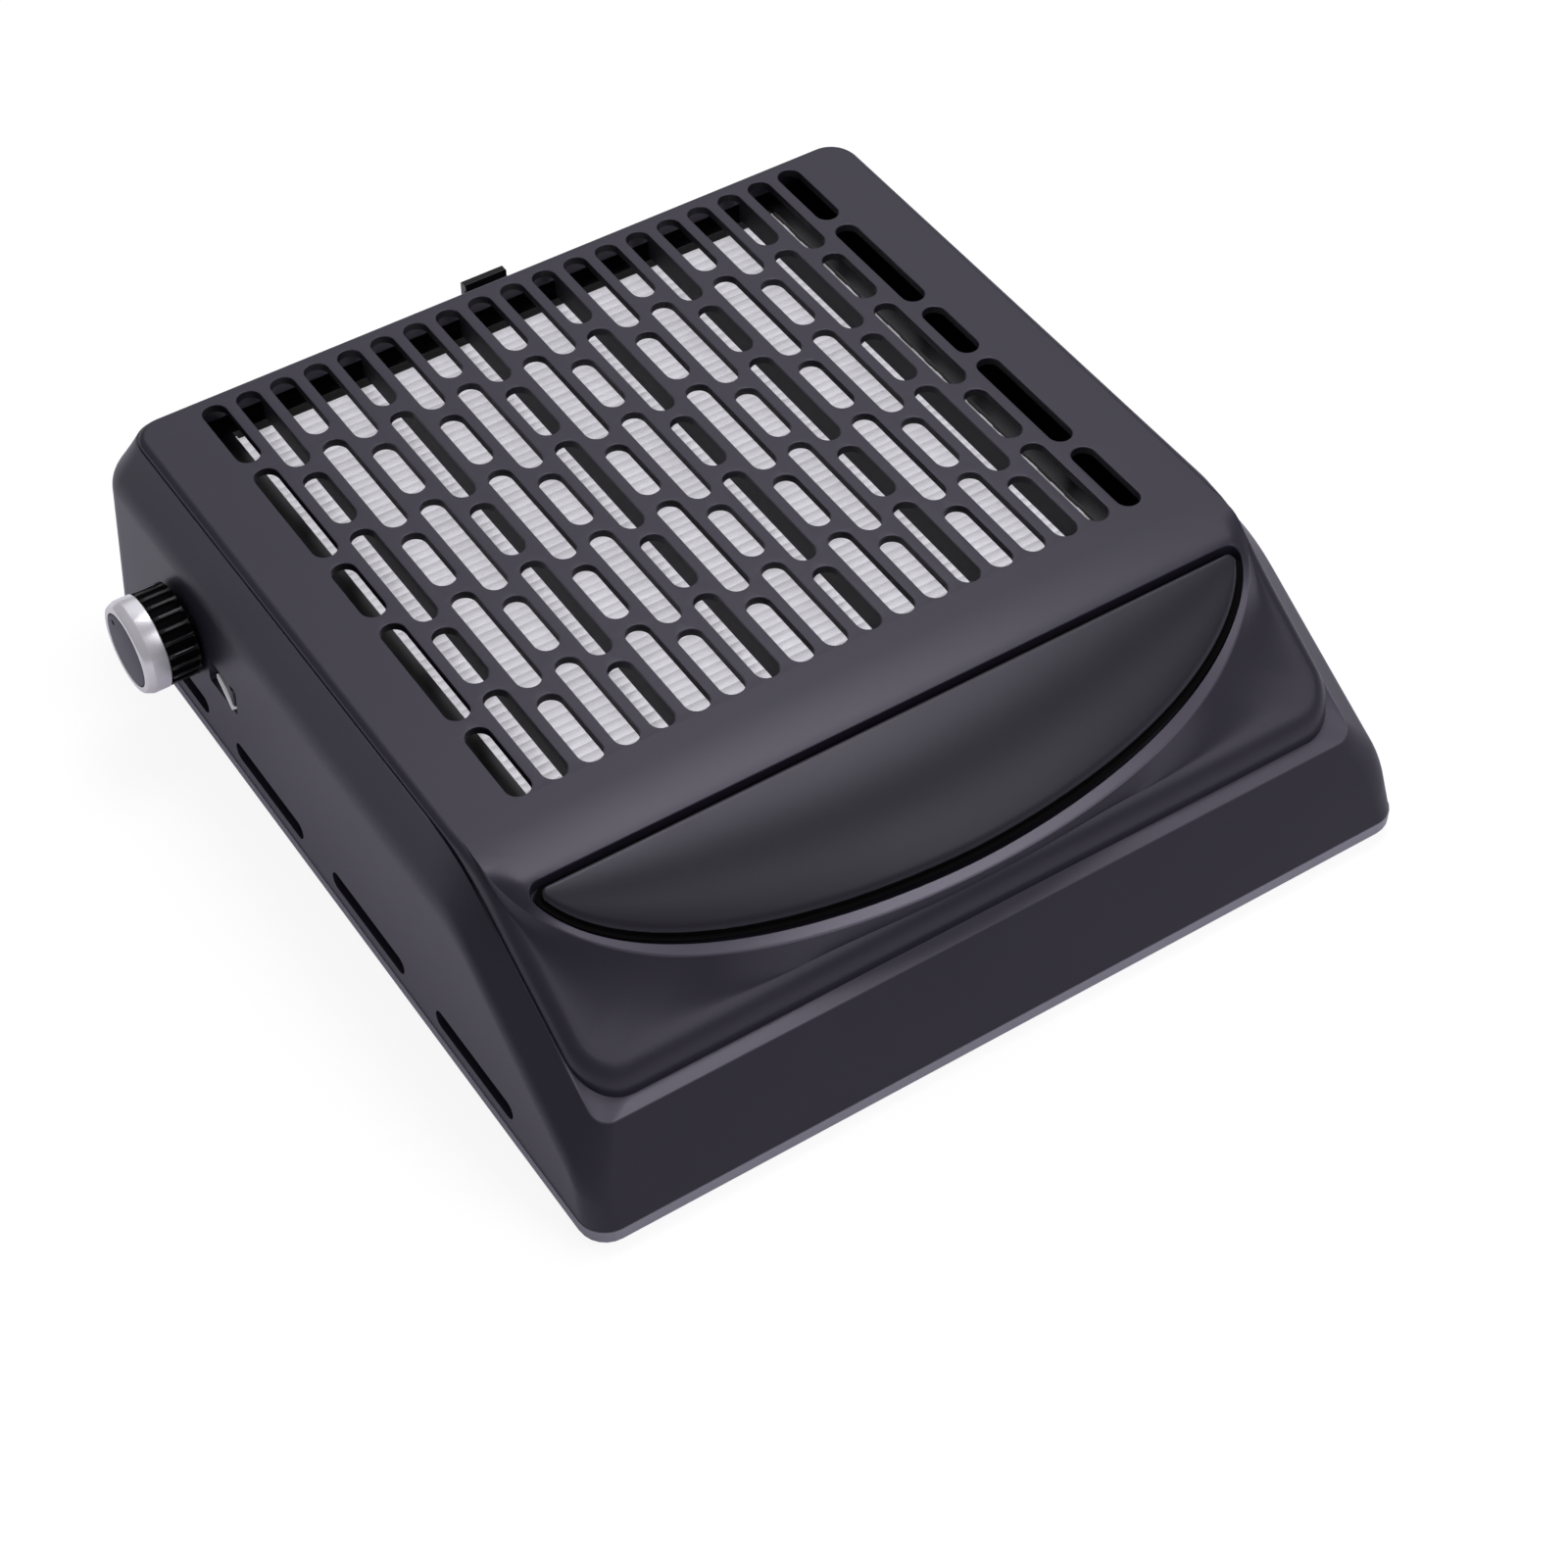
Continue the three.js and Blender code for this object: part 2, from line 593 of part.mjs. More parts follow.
function basePlate() {
  const chamfer = {
    bevelEnabled: true,
    bevelThickness: BASE_CHAMFER,
    bevelSize: BASE_CHAMFER,
    bevelOffset: -BASE_CHAMFER,
    bevelSegments: 2,
  };
  const low = FOOT_LIFT + BASE_CHAMFER;
  const block = prism("z", baseOutline(0), low, BASE_TOP + 4, chamfer);
  const slab = block.intersect(box([-140, 140], [-140, 140], [0, BASE_TOP]));
  const tray = cut(slab, prism("z", baseOutline(-3.2), FLOOR_TOP, 20));
  const posts = cornerPoints(DECK_SCREW_XY).map(([x, y]) => {
    return rod("z", [x, y, 0], 4.5, FLOOR_TOP - 0.5, DECK_Z[0] - GAP, 12);
  });
  const pads = cornerPoints(SCREW_XY).map(([x, y]) => {
    return rod("z", [x, y, 0], 6, FLOOR_TOP - 0.5, BASE_TOP + GAP, 12);
  });
  const standoffs = boardScrewPoints().map(([x, y]) => {
    return rod("z", [x, y, 0], 3, FLOOR_TOP - 0.5, BOARD.z - GAP, 8);
  });
  const motorRing = rod("z", [0, FAN_Y, 0], 26, FLOOR_TOP - 0.5, FLOOR_TOP + 2, 24);
  return cut(join(tray, ...posts, ...pads, ...standoffs, motorRing), ...baseHoles());
}

function baseHoles() {
  const holes = [];
  for (const [x, y] of cornerPoints(SCREW_XY)) {
    holes.push(rod("z", [x, y, 0], 2.2, 0, 10, 8), rod("z", [x, y, 0], 4.2, 0, 3.7, 12));
  }
  for (const [x, y] of motorScrewPoints()) {
    holes.push(rod("z", [x, y, 0], 1.8, 0, 10, 8), rod("z", [x, y, 0], 3.2, 0, 3.7, 10));
  }
  for (const [x, y] of footPoints()) holes.push(rod("z", [x, y, 0], 7.3, 0, 2.7, 20));
  for (const [x, y] of cornerPoints(DECK_SCREW_XY)) holes.push(rod("z", [x, y, 0], 1.5, 23, 40, 8));
  for (const [x, y] of boardScrewPoints()) holes.push(rod("z", [x, y, 0], 1.2, 5, 20, 8));
  return holes;
}

const footPoints = () => cornerPoints([FOOT_XY[0], -FOOT_XY[1], FOOT_XY[1]]);

function boardScrewPoints() {
  return [[BOARD.x[0] + 5, BOARD.y[0] + 5], [BOARD.x[1] - 5, BOARD.y[1] - 5]];
}

function motorScrewPoints() {
  return [90, 210, 330].map((degrees) => {
    const angle = THREE.MathUtils.degToRad(degrees);
    return [MOTOR_SCREW_R * Math.cos(angle), FAN_Y + MOTOR_SCREW_R * Math.sin(angle)];
  });
}

function foot(x, y) {
  return turned("z", [x, y, 0], [[0, 0], [6.3, 0], [7, 0.7], [7, 2.4], [0, 2.4]], 20);
}

// A screw pointing up or down: a low domed head with a slot, on a plain shank
function screw([x, y], headZ, tipZ, headR, shankR) {
  const up = Math.sign(tipZ - headZ);
  const seat = headZ + up * 1.5;
  const head = [[0, headZ], [headR * 0.7, headZ], [headR, headZ + up * 0.9], [headR, seat]];
  const profile = [...head, [shankR, seat], [shankR, tipZ - up], [0, tipZ]];
  const body = turned("z", [x, y, 0], profile, 8);
  const drive = [headZ - 0.8, headZ + 0.8];
  return cut(body, box([x - headR * 0.6, x + headR * 0.6], [y - 0.4, y + 0.4], drive));
}

// Fan deck: closes the space under the drawer, with a flared mouth over the fan and two guides
const MOUTH_R = 56;

function fanDeck() {
  const outline = { halfX: 122, front: -90, rear: 127, frontR: 3, rearR: 10 };
  const plate = prism("z", roundedOutline(outline), ...DECK_Z);
  const [low, high] = DECK_Z;
  const flare = [
    [MOUTH_R, low - 3.4],
    [MOUTH_R + 1.8, low - 3.4],
    [MOUTH_R + 1.8, low + 0.6],
    [MOUTH_R + 5, low + 0.6],
    [MOUTH_R + 5, high],
    [MOUTH_R + 1.4, high - 0.4],
    [MOUTH_R, low],
    [MOUTH_R, low - 3.4],
  ];
  const mouth = rod("z", [0, FAN_Y, 0], MOUTH_R + 4, 30, 40, 32);
  const notch = box([-130, -105], [47, 95], [30, 40]);
  const guides = [-1, 1].flatMap((side) => {
    const fence = [side * (DRAWER_HALF_X + 0.8), side * (DRAWER_HALF_X + 2.8)].sort((p, q) => p - q);
    const rail = [side * (DRAWER_HALF_X - 4), fence[side > 0 ? 1 : 0]].sort((p, q) => p - q);
    const along = [-58, 116];
    return [box(fence, along, [high - 0.5, 44]), box(rail, along, [high - 0.5, DRAWER_Z[0] - GAP])];
  });
  const stop = box([-60, 60], [-59.5, -57.5], [high - 0.5, 44]);
  const holes = cornerPoints(DECK_SCREW_XY).map(([x, y]) => rod("z", [x, y, 0], 1.9, 30, 40, 12));
  const ringed = join(cut(plate, mouth), turned("z", [0, FAN_Y, 0], flare, 32));
  return cut(join(ringed, ...guides, stop), notch, ...holes);
}

// Drawer: an open tray for the cartridge, whose end closes the slot flush with the rear wall
function filterTray() {
  const [z0, z1] = DRAWER_Z;
  const front = FILTER_Y[0] - 4;
  const wallTop = z1 - 4;
  const body = box([-DRAWER_HALF_X, DRAWER_HALF_X], [front, 131.5], [z0, wallTop]);
  const room = box([-94.7, 94.7], [front + 1.8, 126], [z0 + 2, 90]);
  const window = box([-84, 84], [front + 12, FILTER_Y[1] - 8], [30, 60]);
  const tray = cut(body, room, window).intersect(caseBody(0.4, 0, 0.4));
  const endBox = box([-DRAWER_HALF_X, DRAWER_HALF_X], [118, 140], [z0, z1]);
  const end = cut(caseBody(0, BASE_TOP, 0).intersect(endBox), caseBody(WALL, 0, WALL));
  const shelf = [[126.5, 59.5], [133.2, 59.5], [133.2, 63.4], [130.2, 63.4], [129.9, 61.7], [126.5, 61.7]];
  return join(tray, end, prism("x", shelf, -7, 7));
}

// The grooved finger grip hooks over the drawer's shelf
function pullTab() {
  const outline = [[132.6, 63.7], [133.5, 63.7], [133.5, 58.8], [135.6, 58.8], [135.6, 65.2], [135, 65.8]];
  const teeth = [134.6, 133.8, 133];
  for (const y of teeth) outline.push([y, 65.8], [y - 0.2, 65.3], [y - 0.4, 65.8]);
  return prism("x", outline, -6.8, 6.8);
}

function filterFrame() {
  const [y0, y1] = FILTER_Y;
  const [z0, z1] = FILTER_Z;
  const block = box([-FILTER_HALF_X, FILTER_HALF_X], [y0, y1], [z0, z1]);
  const inside = MEDIA_HALF_X + GAP;
  const throat = inside - FRAME_WALL;
  const room = box([-inside, inside], [y0 + FRAME_WALL, y1 - FRAME_WALL], [z0 + FRAME_WALL, 90]);
  const through = box([-throat, throat], [y0 + 2 * FRAME_WALL, y1 - 2 * FRAME_WALL], [0, 90]);
  return cut(block, room, through);
}

// One pleated sheet: its upper and lower faces are the same zigzag, set apart
function filterMedia() {
  const y0 = FILTER_Y[0] + FRAME_WALL + GAP;
  const y1 = FILTER_Y[1] - FRAME_WALL - GAP;
  const low = FILTER_Z[0] + FRAME_WALL + GAP;
  const high = FILTER_Z[1] - 0.6;
  const sheet = 6.4;
  const fold = high - low - sheet;
  const under = [];
  for (let k = 0; k <= 2 * PLEATS; k++) {
    const y = lerp(y0, y1, k / (2 * PLEATS));
    under.push([y, low + (k % 2) * fold]);
  }
  const over = under.map(([y, z]) => [y, z + sheet]).reverse();
  return prism("x", [...under, ...over], -MEDIA_HALF_X, MEDIA_HALF_X);
}

// Fan: backward-curved blades between a disc and a ring, round a cup that covers the motor
const FAN = { tipR: 72, rootR: 34, disc: [8.3, 9.8], bladeTop: 26, ringTop: 28, hubR: 27 };

function impeller() {
  const centre = [0, FAN_Y, 0];
  const [low, high] = FAN.disc;
  const cup = [
    [24.5, low],
    [FAN.tipR, low],
    [FAN.tipR, high],
    [FAN.hubR + 2, high],
    [FAN.hubR, high + 2],
    [FAN.hubR - 1, FAN.ringTop - 1.5],
    [FAN.hubR - 4, FAN.ringTop],
    [2.3, FAN.ringTop],
    [2.3, FAN.ringTop - 2.4],
    [24.5, FAN.ringTop - 2.4],
    [24.5, low],
  ];
  const shroud = [
    [MOUTH_R + 1, FAN.ringTop + 0.4],
    [MOUTH_R + 3, FAN.ringTop - 1.2],
    [FAN.tipR, FAN.bladeTop - 2],
    [FAN.tipR, FAN.bladeTop - 0.6],
    [MOUTH_R + 4, FAN.ringTop + 0.4],
    [MOUTH_R + 1, FAN.ringTop + 0.4],
  ];
  const blades = [];
  for (let k = 0; k < BLADES; k++) blades.push(fanBlade((k * 2 * Math.PI) / BLADES));
  return join(turned("z", centre, cup, 28), turned("z", centre, shroud, 28), ...blades);
}

function fanBlade(turn) {
  const steps = 5;
  const sides = [[], []];
  for (let k = 0; k <= steps; k++) {
    const s = k / steps;
    const radius = lerp(FAN.rootR, FAN.tipR - 0.5, s);
    const angle = turn - 0.85 * s ** 0.8;
    const half = lerp(0.9, 0.7, s) / radius;
    for (const side of [0, 1]) {
      const at = angle + (side ? half : -half) * 1.3;
      sides[side].push([radius * Math.cos(at), FAN_Y + radius * Math.sin(at)]);
    }
  }
  const top = prism("z", [...sides[0], ...sides[1].reverse()], FAN.disc[1] - 0.4, FAN.bladeTop);
  const underRing = turned("z", [0, FAN_Y, 0], [
    [0, 0],
    [80, 0],
    [80, FAN.bladeTop - 1.9],
    [FAN.tipR, FAN.bladeTop - 1.3],
    [MOUTH_R + 3, FAN.ringTop - 0.5],
    [FAN.rootR, FAN.bladeTop],
    [0, FAN.bladeTop],
  ], 28);
  return top.intersect(underRing);
}

function motorStator() {
  const profile = [
    [4.3, 6.2],
    [24, 6.2],
    [24, 7.8],
    [22.5, 9],
    [22.5, 23.4],
    [21, 24.9],
    [4.3, 24.9],
    [4.3, 6.2],
  ];
  const holes = motorScrewPoints().map(([x, y]) => rod("z", [x, y, 0], 1.7, 0, 15, 10));
  return cut(turned("z", [0, FAN_Y, 0], profile, 24), ...holes);
}

const motorBushing = () => tube("z", [0, FAN_Y, 0], [2.3, 4], 7, 24.6, 20);
const motorShaft = () => rod("z", [0, FAN_Y, 0], 2, 7.4, 31.6, 16);

function hexagon(cx, cy, acrossCorners) {
  const points = [];
  for (let k = 0; k < 6; k++) {
    const angle = (k * Math.PI) / 3;
    points.push([cx + acrossCorners * Math.cos(angle), cy + acrossCorners * Math.sin(angle)]);
  }
  return points;
}

function impellerNut() {
  const body = prism("z", hexagon(0, FAN_Y, 4.6), FAN.ringTop + GAP, FAN.ringTop + 3.2);
  return cut(body, rod("z", [0, FAN_Y, 0], 2.3, 20, 40, 16));
}

// Control board with its parts soldered on: a capacitor, a heat sink, a terminal block and a coil
function controlBoard() {
  const [x0, x1] = BOARD.x;
  const [y0, y1] = BOARD.y;
  const top = BOARD.z + 1.6;
  const sheet = box(BOARD.x, BOARD.y, [BOARD.z, top]);
  const parts = [
    rod("z", [x0 + 18, y1 - 12, 0], 6, top - 0.2, top + 14, 20),
    box([x0 + 30, x0 + 46], [y1 - 14, y1 - 4], [top - 0.2, top + 9]),
    box([x0 + 30, x0 + 46], [y1 - 12.6, y1 - 11.4], [top + 8.8, top + 15]),
    box([x0 + 30, x0 + 46], [y1 - 9.6, y1 - 8.4], [top + 8.8, top + 15]),
    box([x1 - 22, x1 - 6], [y0 + 4, y0 + 12], [top - 0.2, top + 10]),
    rod("z", [x0 + 26, y0 + 10, 0], 4.5, top - 0.2, top + 8, 16),
  ];
  const holes = boardScrewPoints().map(([x, y]) => rod("z", [x, y, 0], 1.6, 0, 20, 12));
  return cut(join(sheet, ...parts), ...holes);
}

// Speed control: the body inside the wall, its nut outside, the turning shaft and the knob on it
const KNOB_AXIS = [0, KNOB.y, KNOB.z];

function potBody() {
  const barrel = rod("x", KNOB_AXIS, 3.8, -129, -122, 20);
  const can = rod("x", KNOB_AXIS, 8, -123.2, -114, 24);
  return cut(join(barrel, can), rod("x", KNOB_AXIS, 3.3, -130, -121, 20));
}

function potNut() {
  const body = prism("x", hexagon(KNOB.y, KNOB.z, 6.2), -129, -127.1);
  return cut(body, rod("x", KNOB_AXIS, 4.1, -140, -110));
}

const potShaft = () => rod("x", KNOB_AXIS, 3, -134.6, -121.4, 20);

// The ribbed grip, drawn as a wheel of rounded teeth
function knobGrip() {
  const teeth = 18;
  const outline = [];
  for (let k = 0; k < teeth * 4; k++) {
    const radius = k % 4 < 2 ? KNOB.gripR : KNOB.gripR - 0.75;
    const angle = ((k + (k % 2) * 0.2) * 2 * Math.PI) / (teeth * 4);
    outline.push([KNOB.y + radius * Math.cos(angle), KNOB.z + radius * Math.sin(angle)]);
  }
  const body = prism("x", outline, -136.2, KNOB.back);
  const recess = rod("x", KNOB_AXIS, 7.6, -131, -120);
  return cut(body, recess, rod("x", KNOB_AXIS, 3.3, -135, -120, 20));
}

function knobRing() {
  const { out, ringR, faceR } = KNOB;
  const profile = [
    [0, out + 1.9],
    [10.9, out + 1.9],
    [10.9, out + 0.2],
    [11.4, out - 0.1],
    [12.2, out - 0.1],
    [faceR, out + 0.5],
    [ringR, out + 2.6],
    [ringR, -136.5],
    [0, -136.5],
  ];
  return turned("x", KNOB_AXIS, profile, 28);
}

function knobCap() {
  const disc = rod("x", KNOB_AXIS, 10.6, KNOB.out, KNOB.out + 1.6, 28);
  return cut(disc, rod("x", [0, KNOB.y + 5.2, KNOB.z + 5.2], 0.9, KNOB.out - 1, KNOB.out + 0.6, 12));
}

// Power rocker in its frame, resting tilted so that its rear end is pressed in
function switchFrame() {
  const { y, z } = ROCKER;
  const body = box([-122.9, -112], [y - 10, y + 10], [z - 6, z + 6]);
  const well = box([-130, -116], [y - 8.2, y + 8.2], [z - 4.2, z + 4.2]);
  const tabs = [-4.5, 4.5].map((dy) => box([-112.2, -107], [y + dy - 1, y + dy + 1], [z - 3, z + 3]));
  return join(cut(body, well), ...tabs);
}

function tilted(shape, degrees) {
  const geometry = geometryOf(shape).translate(-ROCKER.x, -ROCKER.y, 0);
  return solid(geometry.rotateZ(THREE.MathUtils.degToRad(degrees)).translate(ROCKER.x, ROCKER.y, 0));
}

function powerRocker() {
  const { x, y, z } = ROCKER;
  const outline = [
    [x - 3.4, y - 7.2],
    [x - 2.7, y],
    [x - 3.4, y + 7.2],
    [x + 0.5, y + 7.2],
    [x + 4.5, y + 1.5],
    [x + 4.5, y - 1.5],
    [x + 0.5, y - 7.2],
  ];
  const body = prism("z", outline.reverse(), z - 3.9, z + 3.9);
  const groove = box([x - 10, x - 2.1], [y - 6.3, y + 6.3], [z - 3.2, z - 1.4]);
  return tilted(cut(body, groove), ROCKER.tilt);
}

function rockerStrip() {
  const { x, y, z } = ROCKER;
  return tilted(box([x - 3, x - 2.4], [y - 6, y + 6], [z - 2.9, z - 1.7]), ROCKER.tilt);
}

// Power inlet: a two-pin socket set in the rear wall
function inletSocket() {
  const { x, z } = INLET;
  const face = rearY(z) + 0.3;
  const body = box([x - 11, x + 11], [116, face], [z - 6, z + 6]);
  const flange = box([x - 14, x + 14], [128.6, 130.8], [z - 8, z + 8]);
  const cavity = prism("y", shapeOf(stadium(z, x, 8.6, 18.4)), 121, 140);
  const bores = [-4.3, 4.3].map((dx) => rod("y", [x + dx, 0, z], 1.5, 110, 130, 12));
  return cut(join(body, flange), cavity, ...bores);
}

const inletPin = (dx) => rod("y", [INLET.x + dx, 0, INLET.z], 1.2, 114, 130.5, 12);

// Finishes
const plastic = (color, roughness) => new THREE.MeshStandardMaterial({ color, roughness, metalness: 0 });
const metal = (color, roughness) => new THREE.MeshStandardMaterial({ color, roughness, metalness: 1 });
const charcoal = plastic("#34323a", 0.4);
const charcoalDark = plastic("#1b1a1e", 0.6);
const softCharcoal = plastic("#323038", 0.5);
const baseGrey = plastic("#8e8e9b", 0.5);
const black = plastic("#0c0b0d", 0.5);
const rubber = plastic("#1a191b", 0.9);
const paper = plastic("#e6e5ea", 0.95);
const white = plastic("#f2f2f4", 0.6);
const boardGreen = plastic("#1f5138", 0.6);
const steel = metal("#b9b9bf", 0.35);
const brightRing = metal("#dddce2", 0.25);
const greyCap = metal("#6f6d78", 0.4);
const brass = metal("#b8995a", 0.35);

const collector = new THREE.Group();

// Faces thinner than this are merged into their neighbours
const FINEST = 0.01;

function add(name, shape, material) {
  const mesh = new THREE.Mesh(geometryOf(shape.simplify(FINEST)), material);
  mesh.name = name;
  collector.add(mesh);
}

const CORNERS = ["front_left", "front_right", "rear_left", "rear_right"];

add("outer_housing", outerHousing(), charcoal);
add("top_cover", topCover(), charcoal);
add("hand_rest_pad", handRestPad(), softCharcoal);
add("base_plate", basePlate(), baseGrey);
footPoints().forEach(([x, y], k) => add("foot_" + CORNERS[k], foot(x, y), rubber));
cornerPoints(SCREW_XY).forEach((at, k) => {
  add("base_screw_" + CORNERS[k], screw(at, 1.8, 19, 3.8, 1.5), steel);
});
add("fan_deck", fanDeck(), charcoalDark);
const deckHead = DECK_Z[1] + GAP + 1.5;
cornerPoints(DECK_SCREW_XY).forEach((at, k) => {
  add("deck_screw_" + CORNERS[k], screw(at, deckHead, 24, 3.3, 1.2), steel);
});
add("motor_stator", motorStator(), steel);
add("motor_bushing", motorBushing(), brass);
motorScrewPoints().forEach((at, k) => add("motor_screw_" + (k + 1), screw(at, 1.8, 14, 2.8, 1.4), steel));
add("control_board", controlBoard(), boardGreen);
boardScrewPoints().forEach((at, k) => {
  add("board_screw_" + (k + 1), screw(at, BOARD.z + 1.6 + GAP + 1.5, 5.5, 2.4, 0.9), steel);
});
add("speed_control_body", potBody(), steel);
add("speed_control_nut", potNut(), steel);
add("switch_frame", switchFrame(), black);
add("inlet_socket", inletSocket(), black);
add("inlet_pin_left", inletPin(-4.3), brass);
add("inlet_pin_right", inletPin(4.3), brass);
add("filter_tray", filterTray(), charcoalDark);
add("pull_tab", pullTab(), black);
add("filter_frame", filterFrame(), black);
add("filter_media", filterMedia(), paper);
add("control_shaft", potShaft(), steel);
add("knob_grip", knobGrip(), black);
add("knob_ring", knobRing(), brightRing);
add("knob_cap", knobCap(), greyCap);
add("power_rocker", powerRocker(), charcoal);
add("rocker_strip", rockerStrip(), white);
add("fan_impeller", impeller(), black);
add("motor_shaft", motorShaft(), steel);
add("impeller_nut", impellerNut(), steel);

// The object's origin lies under the middle of its whole outline, which the knob and the tab widen
const LEFT_MOST = KNOB.out - 0.1;
const REAR_MOST = 135.6;
collector.position.set(-(LEFT_MOST + BASE_HALF_X) / 2, -(REAR_MOST - BASE_HALF_Y) / 2, 0);

export default collector;
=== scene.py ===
"""The nail dust collector's looks: fine moulded surfaces, finishes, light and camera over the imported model.

Shapes are worked out in the case's own millimetres: x = 0 on its mirror plane, y = 0 at mid-depth,
z = 0 on the table, hand rest towards -y. to_frame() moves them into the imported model's metres.
"""
import json
import math

import bmesh
import bpy
import numpy as np
from mathutils import Matrix, Vector
from mathutils.geometry import tessellate_polygon
from mathutils.kdtree import KDTree


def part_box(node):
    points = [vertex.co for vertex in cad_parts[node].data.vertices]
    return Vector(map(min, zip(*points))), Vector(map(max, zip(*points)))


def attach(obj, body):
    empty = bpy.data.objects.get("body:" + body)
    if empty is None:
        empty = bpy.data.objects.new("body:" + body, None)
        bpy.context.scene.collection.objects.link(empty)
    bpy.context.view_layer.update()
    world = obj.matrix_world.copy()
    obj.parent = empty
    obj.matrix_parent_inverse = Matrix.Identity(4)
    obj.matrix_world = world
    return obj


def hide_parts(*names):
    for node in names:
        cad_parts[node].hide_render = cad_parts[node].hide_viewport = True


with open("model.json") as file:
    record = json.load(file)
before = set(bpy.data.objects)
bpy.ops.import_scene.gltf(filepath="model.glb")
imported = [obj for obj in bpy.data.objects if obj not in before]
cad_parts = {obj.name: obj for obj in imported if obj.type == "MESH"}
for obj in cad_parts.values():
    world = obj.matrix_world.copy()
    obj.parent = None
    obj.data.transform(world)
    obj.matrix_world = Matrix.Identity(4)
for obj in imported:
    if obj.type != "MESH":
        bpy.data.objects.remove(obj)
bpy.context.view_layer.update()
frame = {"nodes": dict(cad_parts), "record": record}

MM = 0.001
base_low, base_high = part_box("base_plate")
MIRROR_X = (base_low.x + base_high.x) / 2
MID_Y = (base_low.y + base_high.y) / 2

# The case: drafted walls, a sloping front face and a shoulder band up to the crease
BASE_HALF_X = 128
BASE_HALF_Y = 134.7
FOOT_LIFT = 1.5
BASE_TOP = 6.1
GAP = 0.3
SHUT_LINE = 0.07
WALL = 2.4
SIDE_DRAFT = 0.05
REAR_DRAFT = 0.048
FACE_LEAN = 0.5205
SLOPE = 0.633
CREASE_Z = 70.3
PANEL_Z = 72.2
LEDGE_Z = 30.5
LEDGE_Y = -122
LEDGE_SLOPE = 0.28
LEDGE_STEP = 1.5
LEDGE_POLISH_AND_HIGHLIGHT_Y = (-100, -112)
SHOULDER_Z = 56.8
SHOULDER_DROP = 8.5
SHOULDER_TURN = 3.2
SHOULDER_REACH = 0.24
CREASE_HALF_X = 117.9
CREASE_REAR_Y = 125
CORNER_STEPS = 12
WALL_CORNERS = (8, 12)
CREASE_CORNERS = (5, 8.5)

# Openings in the housing's walls
VENTS = 4
VENT_Y = -75.5
VENT_PITCH = 55.5
VENT_Z = 12.85
VENT_WIDTH = 5.7
VENT_LENGTH = 39
DRAWER_X = (-97.3, 97.3)
DRAWER_Z = (37.9, 62.1)
INLET_X = (50.6, 73.4)
INLET_Z = (12.6, 25.4)

# The cover: outline, slots, brow and hand rest
COVER_HALF_X = 117.3
COVER_FRONT = -117.6
COVER_REAR = 124.4
COVER_FRONT_R = 12
COVER_REAR_R = 8.5
SKIRT_DEPTH = 5.5
EDGE_WIDE = 2.3
EDGE_NARROW = 1.9
EDGE_FRONT = 4.2
EDGE_TURN_Y = (-86, -67)
SEAM_Y = -54
TOP_BEND_Y = -59
TOP_BEND_R = 92
BROW_Y = -66
BROW_A = 115.2
BROW_B = 52.5
BROW_LOW = 49
BROW_FRONT_Y = -117.5
BROW_REAR_Y = -61.5
BROW_DROP = 0.16
BROW_SOFT_Y = (-92, -74)
RIM_RAISE = 0.8
RIM_TIP_RISE = 1.4
RIM_SLOPE = 0.16
LIP = 0.45
PAD_Y = -75.6
PAD_Z = 70.45
PAD_A = 109.4
PAD_B = 39.4
PAD_POWER = 1.83
PAD_CORNER = 3.2
PAD_GROOVE = 2.0
PAD_THICK = 2.6
PAD_PROUD = 0.15
POCKET_DEPTH = PAD_THICK + 0.8
FIELD_LIFT = 5.3
SLOT_PITCH = 10.5
SLOT_WIDTH = 7.05
SLOT_LONG = 39.88
SLOT_SHORT = 22.44
SLOT_GAP = 4.03
SLOT_REAR_Y = 120
SLOT_FIELD = 171.33
SLOT_COLUMNS = 19
SLOT_LIP = 0.35

# Knob and rocker in the left wall
KNOB_Y = 83
KNOB_Z = 35.5
KNOB_OUT = -143.7
KNOB_HOLE_R = 4.2
GRIP_X = (-127.6, -136.3)
GRIP_R = 13.6
GRIP_RIDGES = 22
# Inside this radius the grip is painted near-black as shade.
GROOVE_R = 13.25
ROCKER_X = -123.5
ROCKER_Y = 60
ROCKER_Z = 31.7
ROCKER_TILT = math.radians(-9)


def to_frame(points):
    """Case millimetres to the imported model's metres."""
    return np.asarray(points, float) * MM + np.array([MIRROR_X, MID_Y, 0])


def to_case(point):
    """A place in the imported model's metres, in case millimetres."""
    return (point - Vector((MIRROR_X, MID_Y, 0))) / MM


def lerp(a, b, t):
    return a + (b - a) * t


def smoothstep(x, low, high):
    t = np.clip((x - low) / (high - low), 0, 1)
    return t * t * (3 - 2 * t)


def bent(y, level, bend, blend):
    """A level height that turns down into the front slope, rounded over the bend."""
    past = np.clip(bend + blend - y, 0, None)
    curved = level - SLOPE * past**2 / (4 * blend)
    return np.where(past >= 2 * blend, level - SLOPE * (bend - y), curved)


def roof_z(y):
    return bent(y, CREASE_Z, LEDGE_Y + (CREASE_Z - LEDGE_Z) / SLOPE, blend=10)


def wall_z(y):
    return bent(y, SHOULDER_Z, LEDGE_Y + (SHOULDER_Z + SHOULDER_DROP - LEDGE_Z) / SLOPE, blend=8)


def field_z(y):
    return bent(y, PANEL_Z, LEDGE_Y + (PANEL_Z - FIELD_LIFT - LEDGE_Z) / SLOPE, blend=9)


def side_x(z):
    return BASE_HALF_X - SIDE_DRAFT * (z - FOOT_LIFT)


def rear_y(z):
    return BASE_HALF_Y - REAR_DRAFT * (z - FOOT_LIFT)


def face_y(z):
    return -BASE_HALF_Y + FACE_LEAN * (z - BASE_TOP)


# Mesh helpers

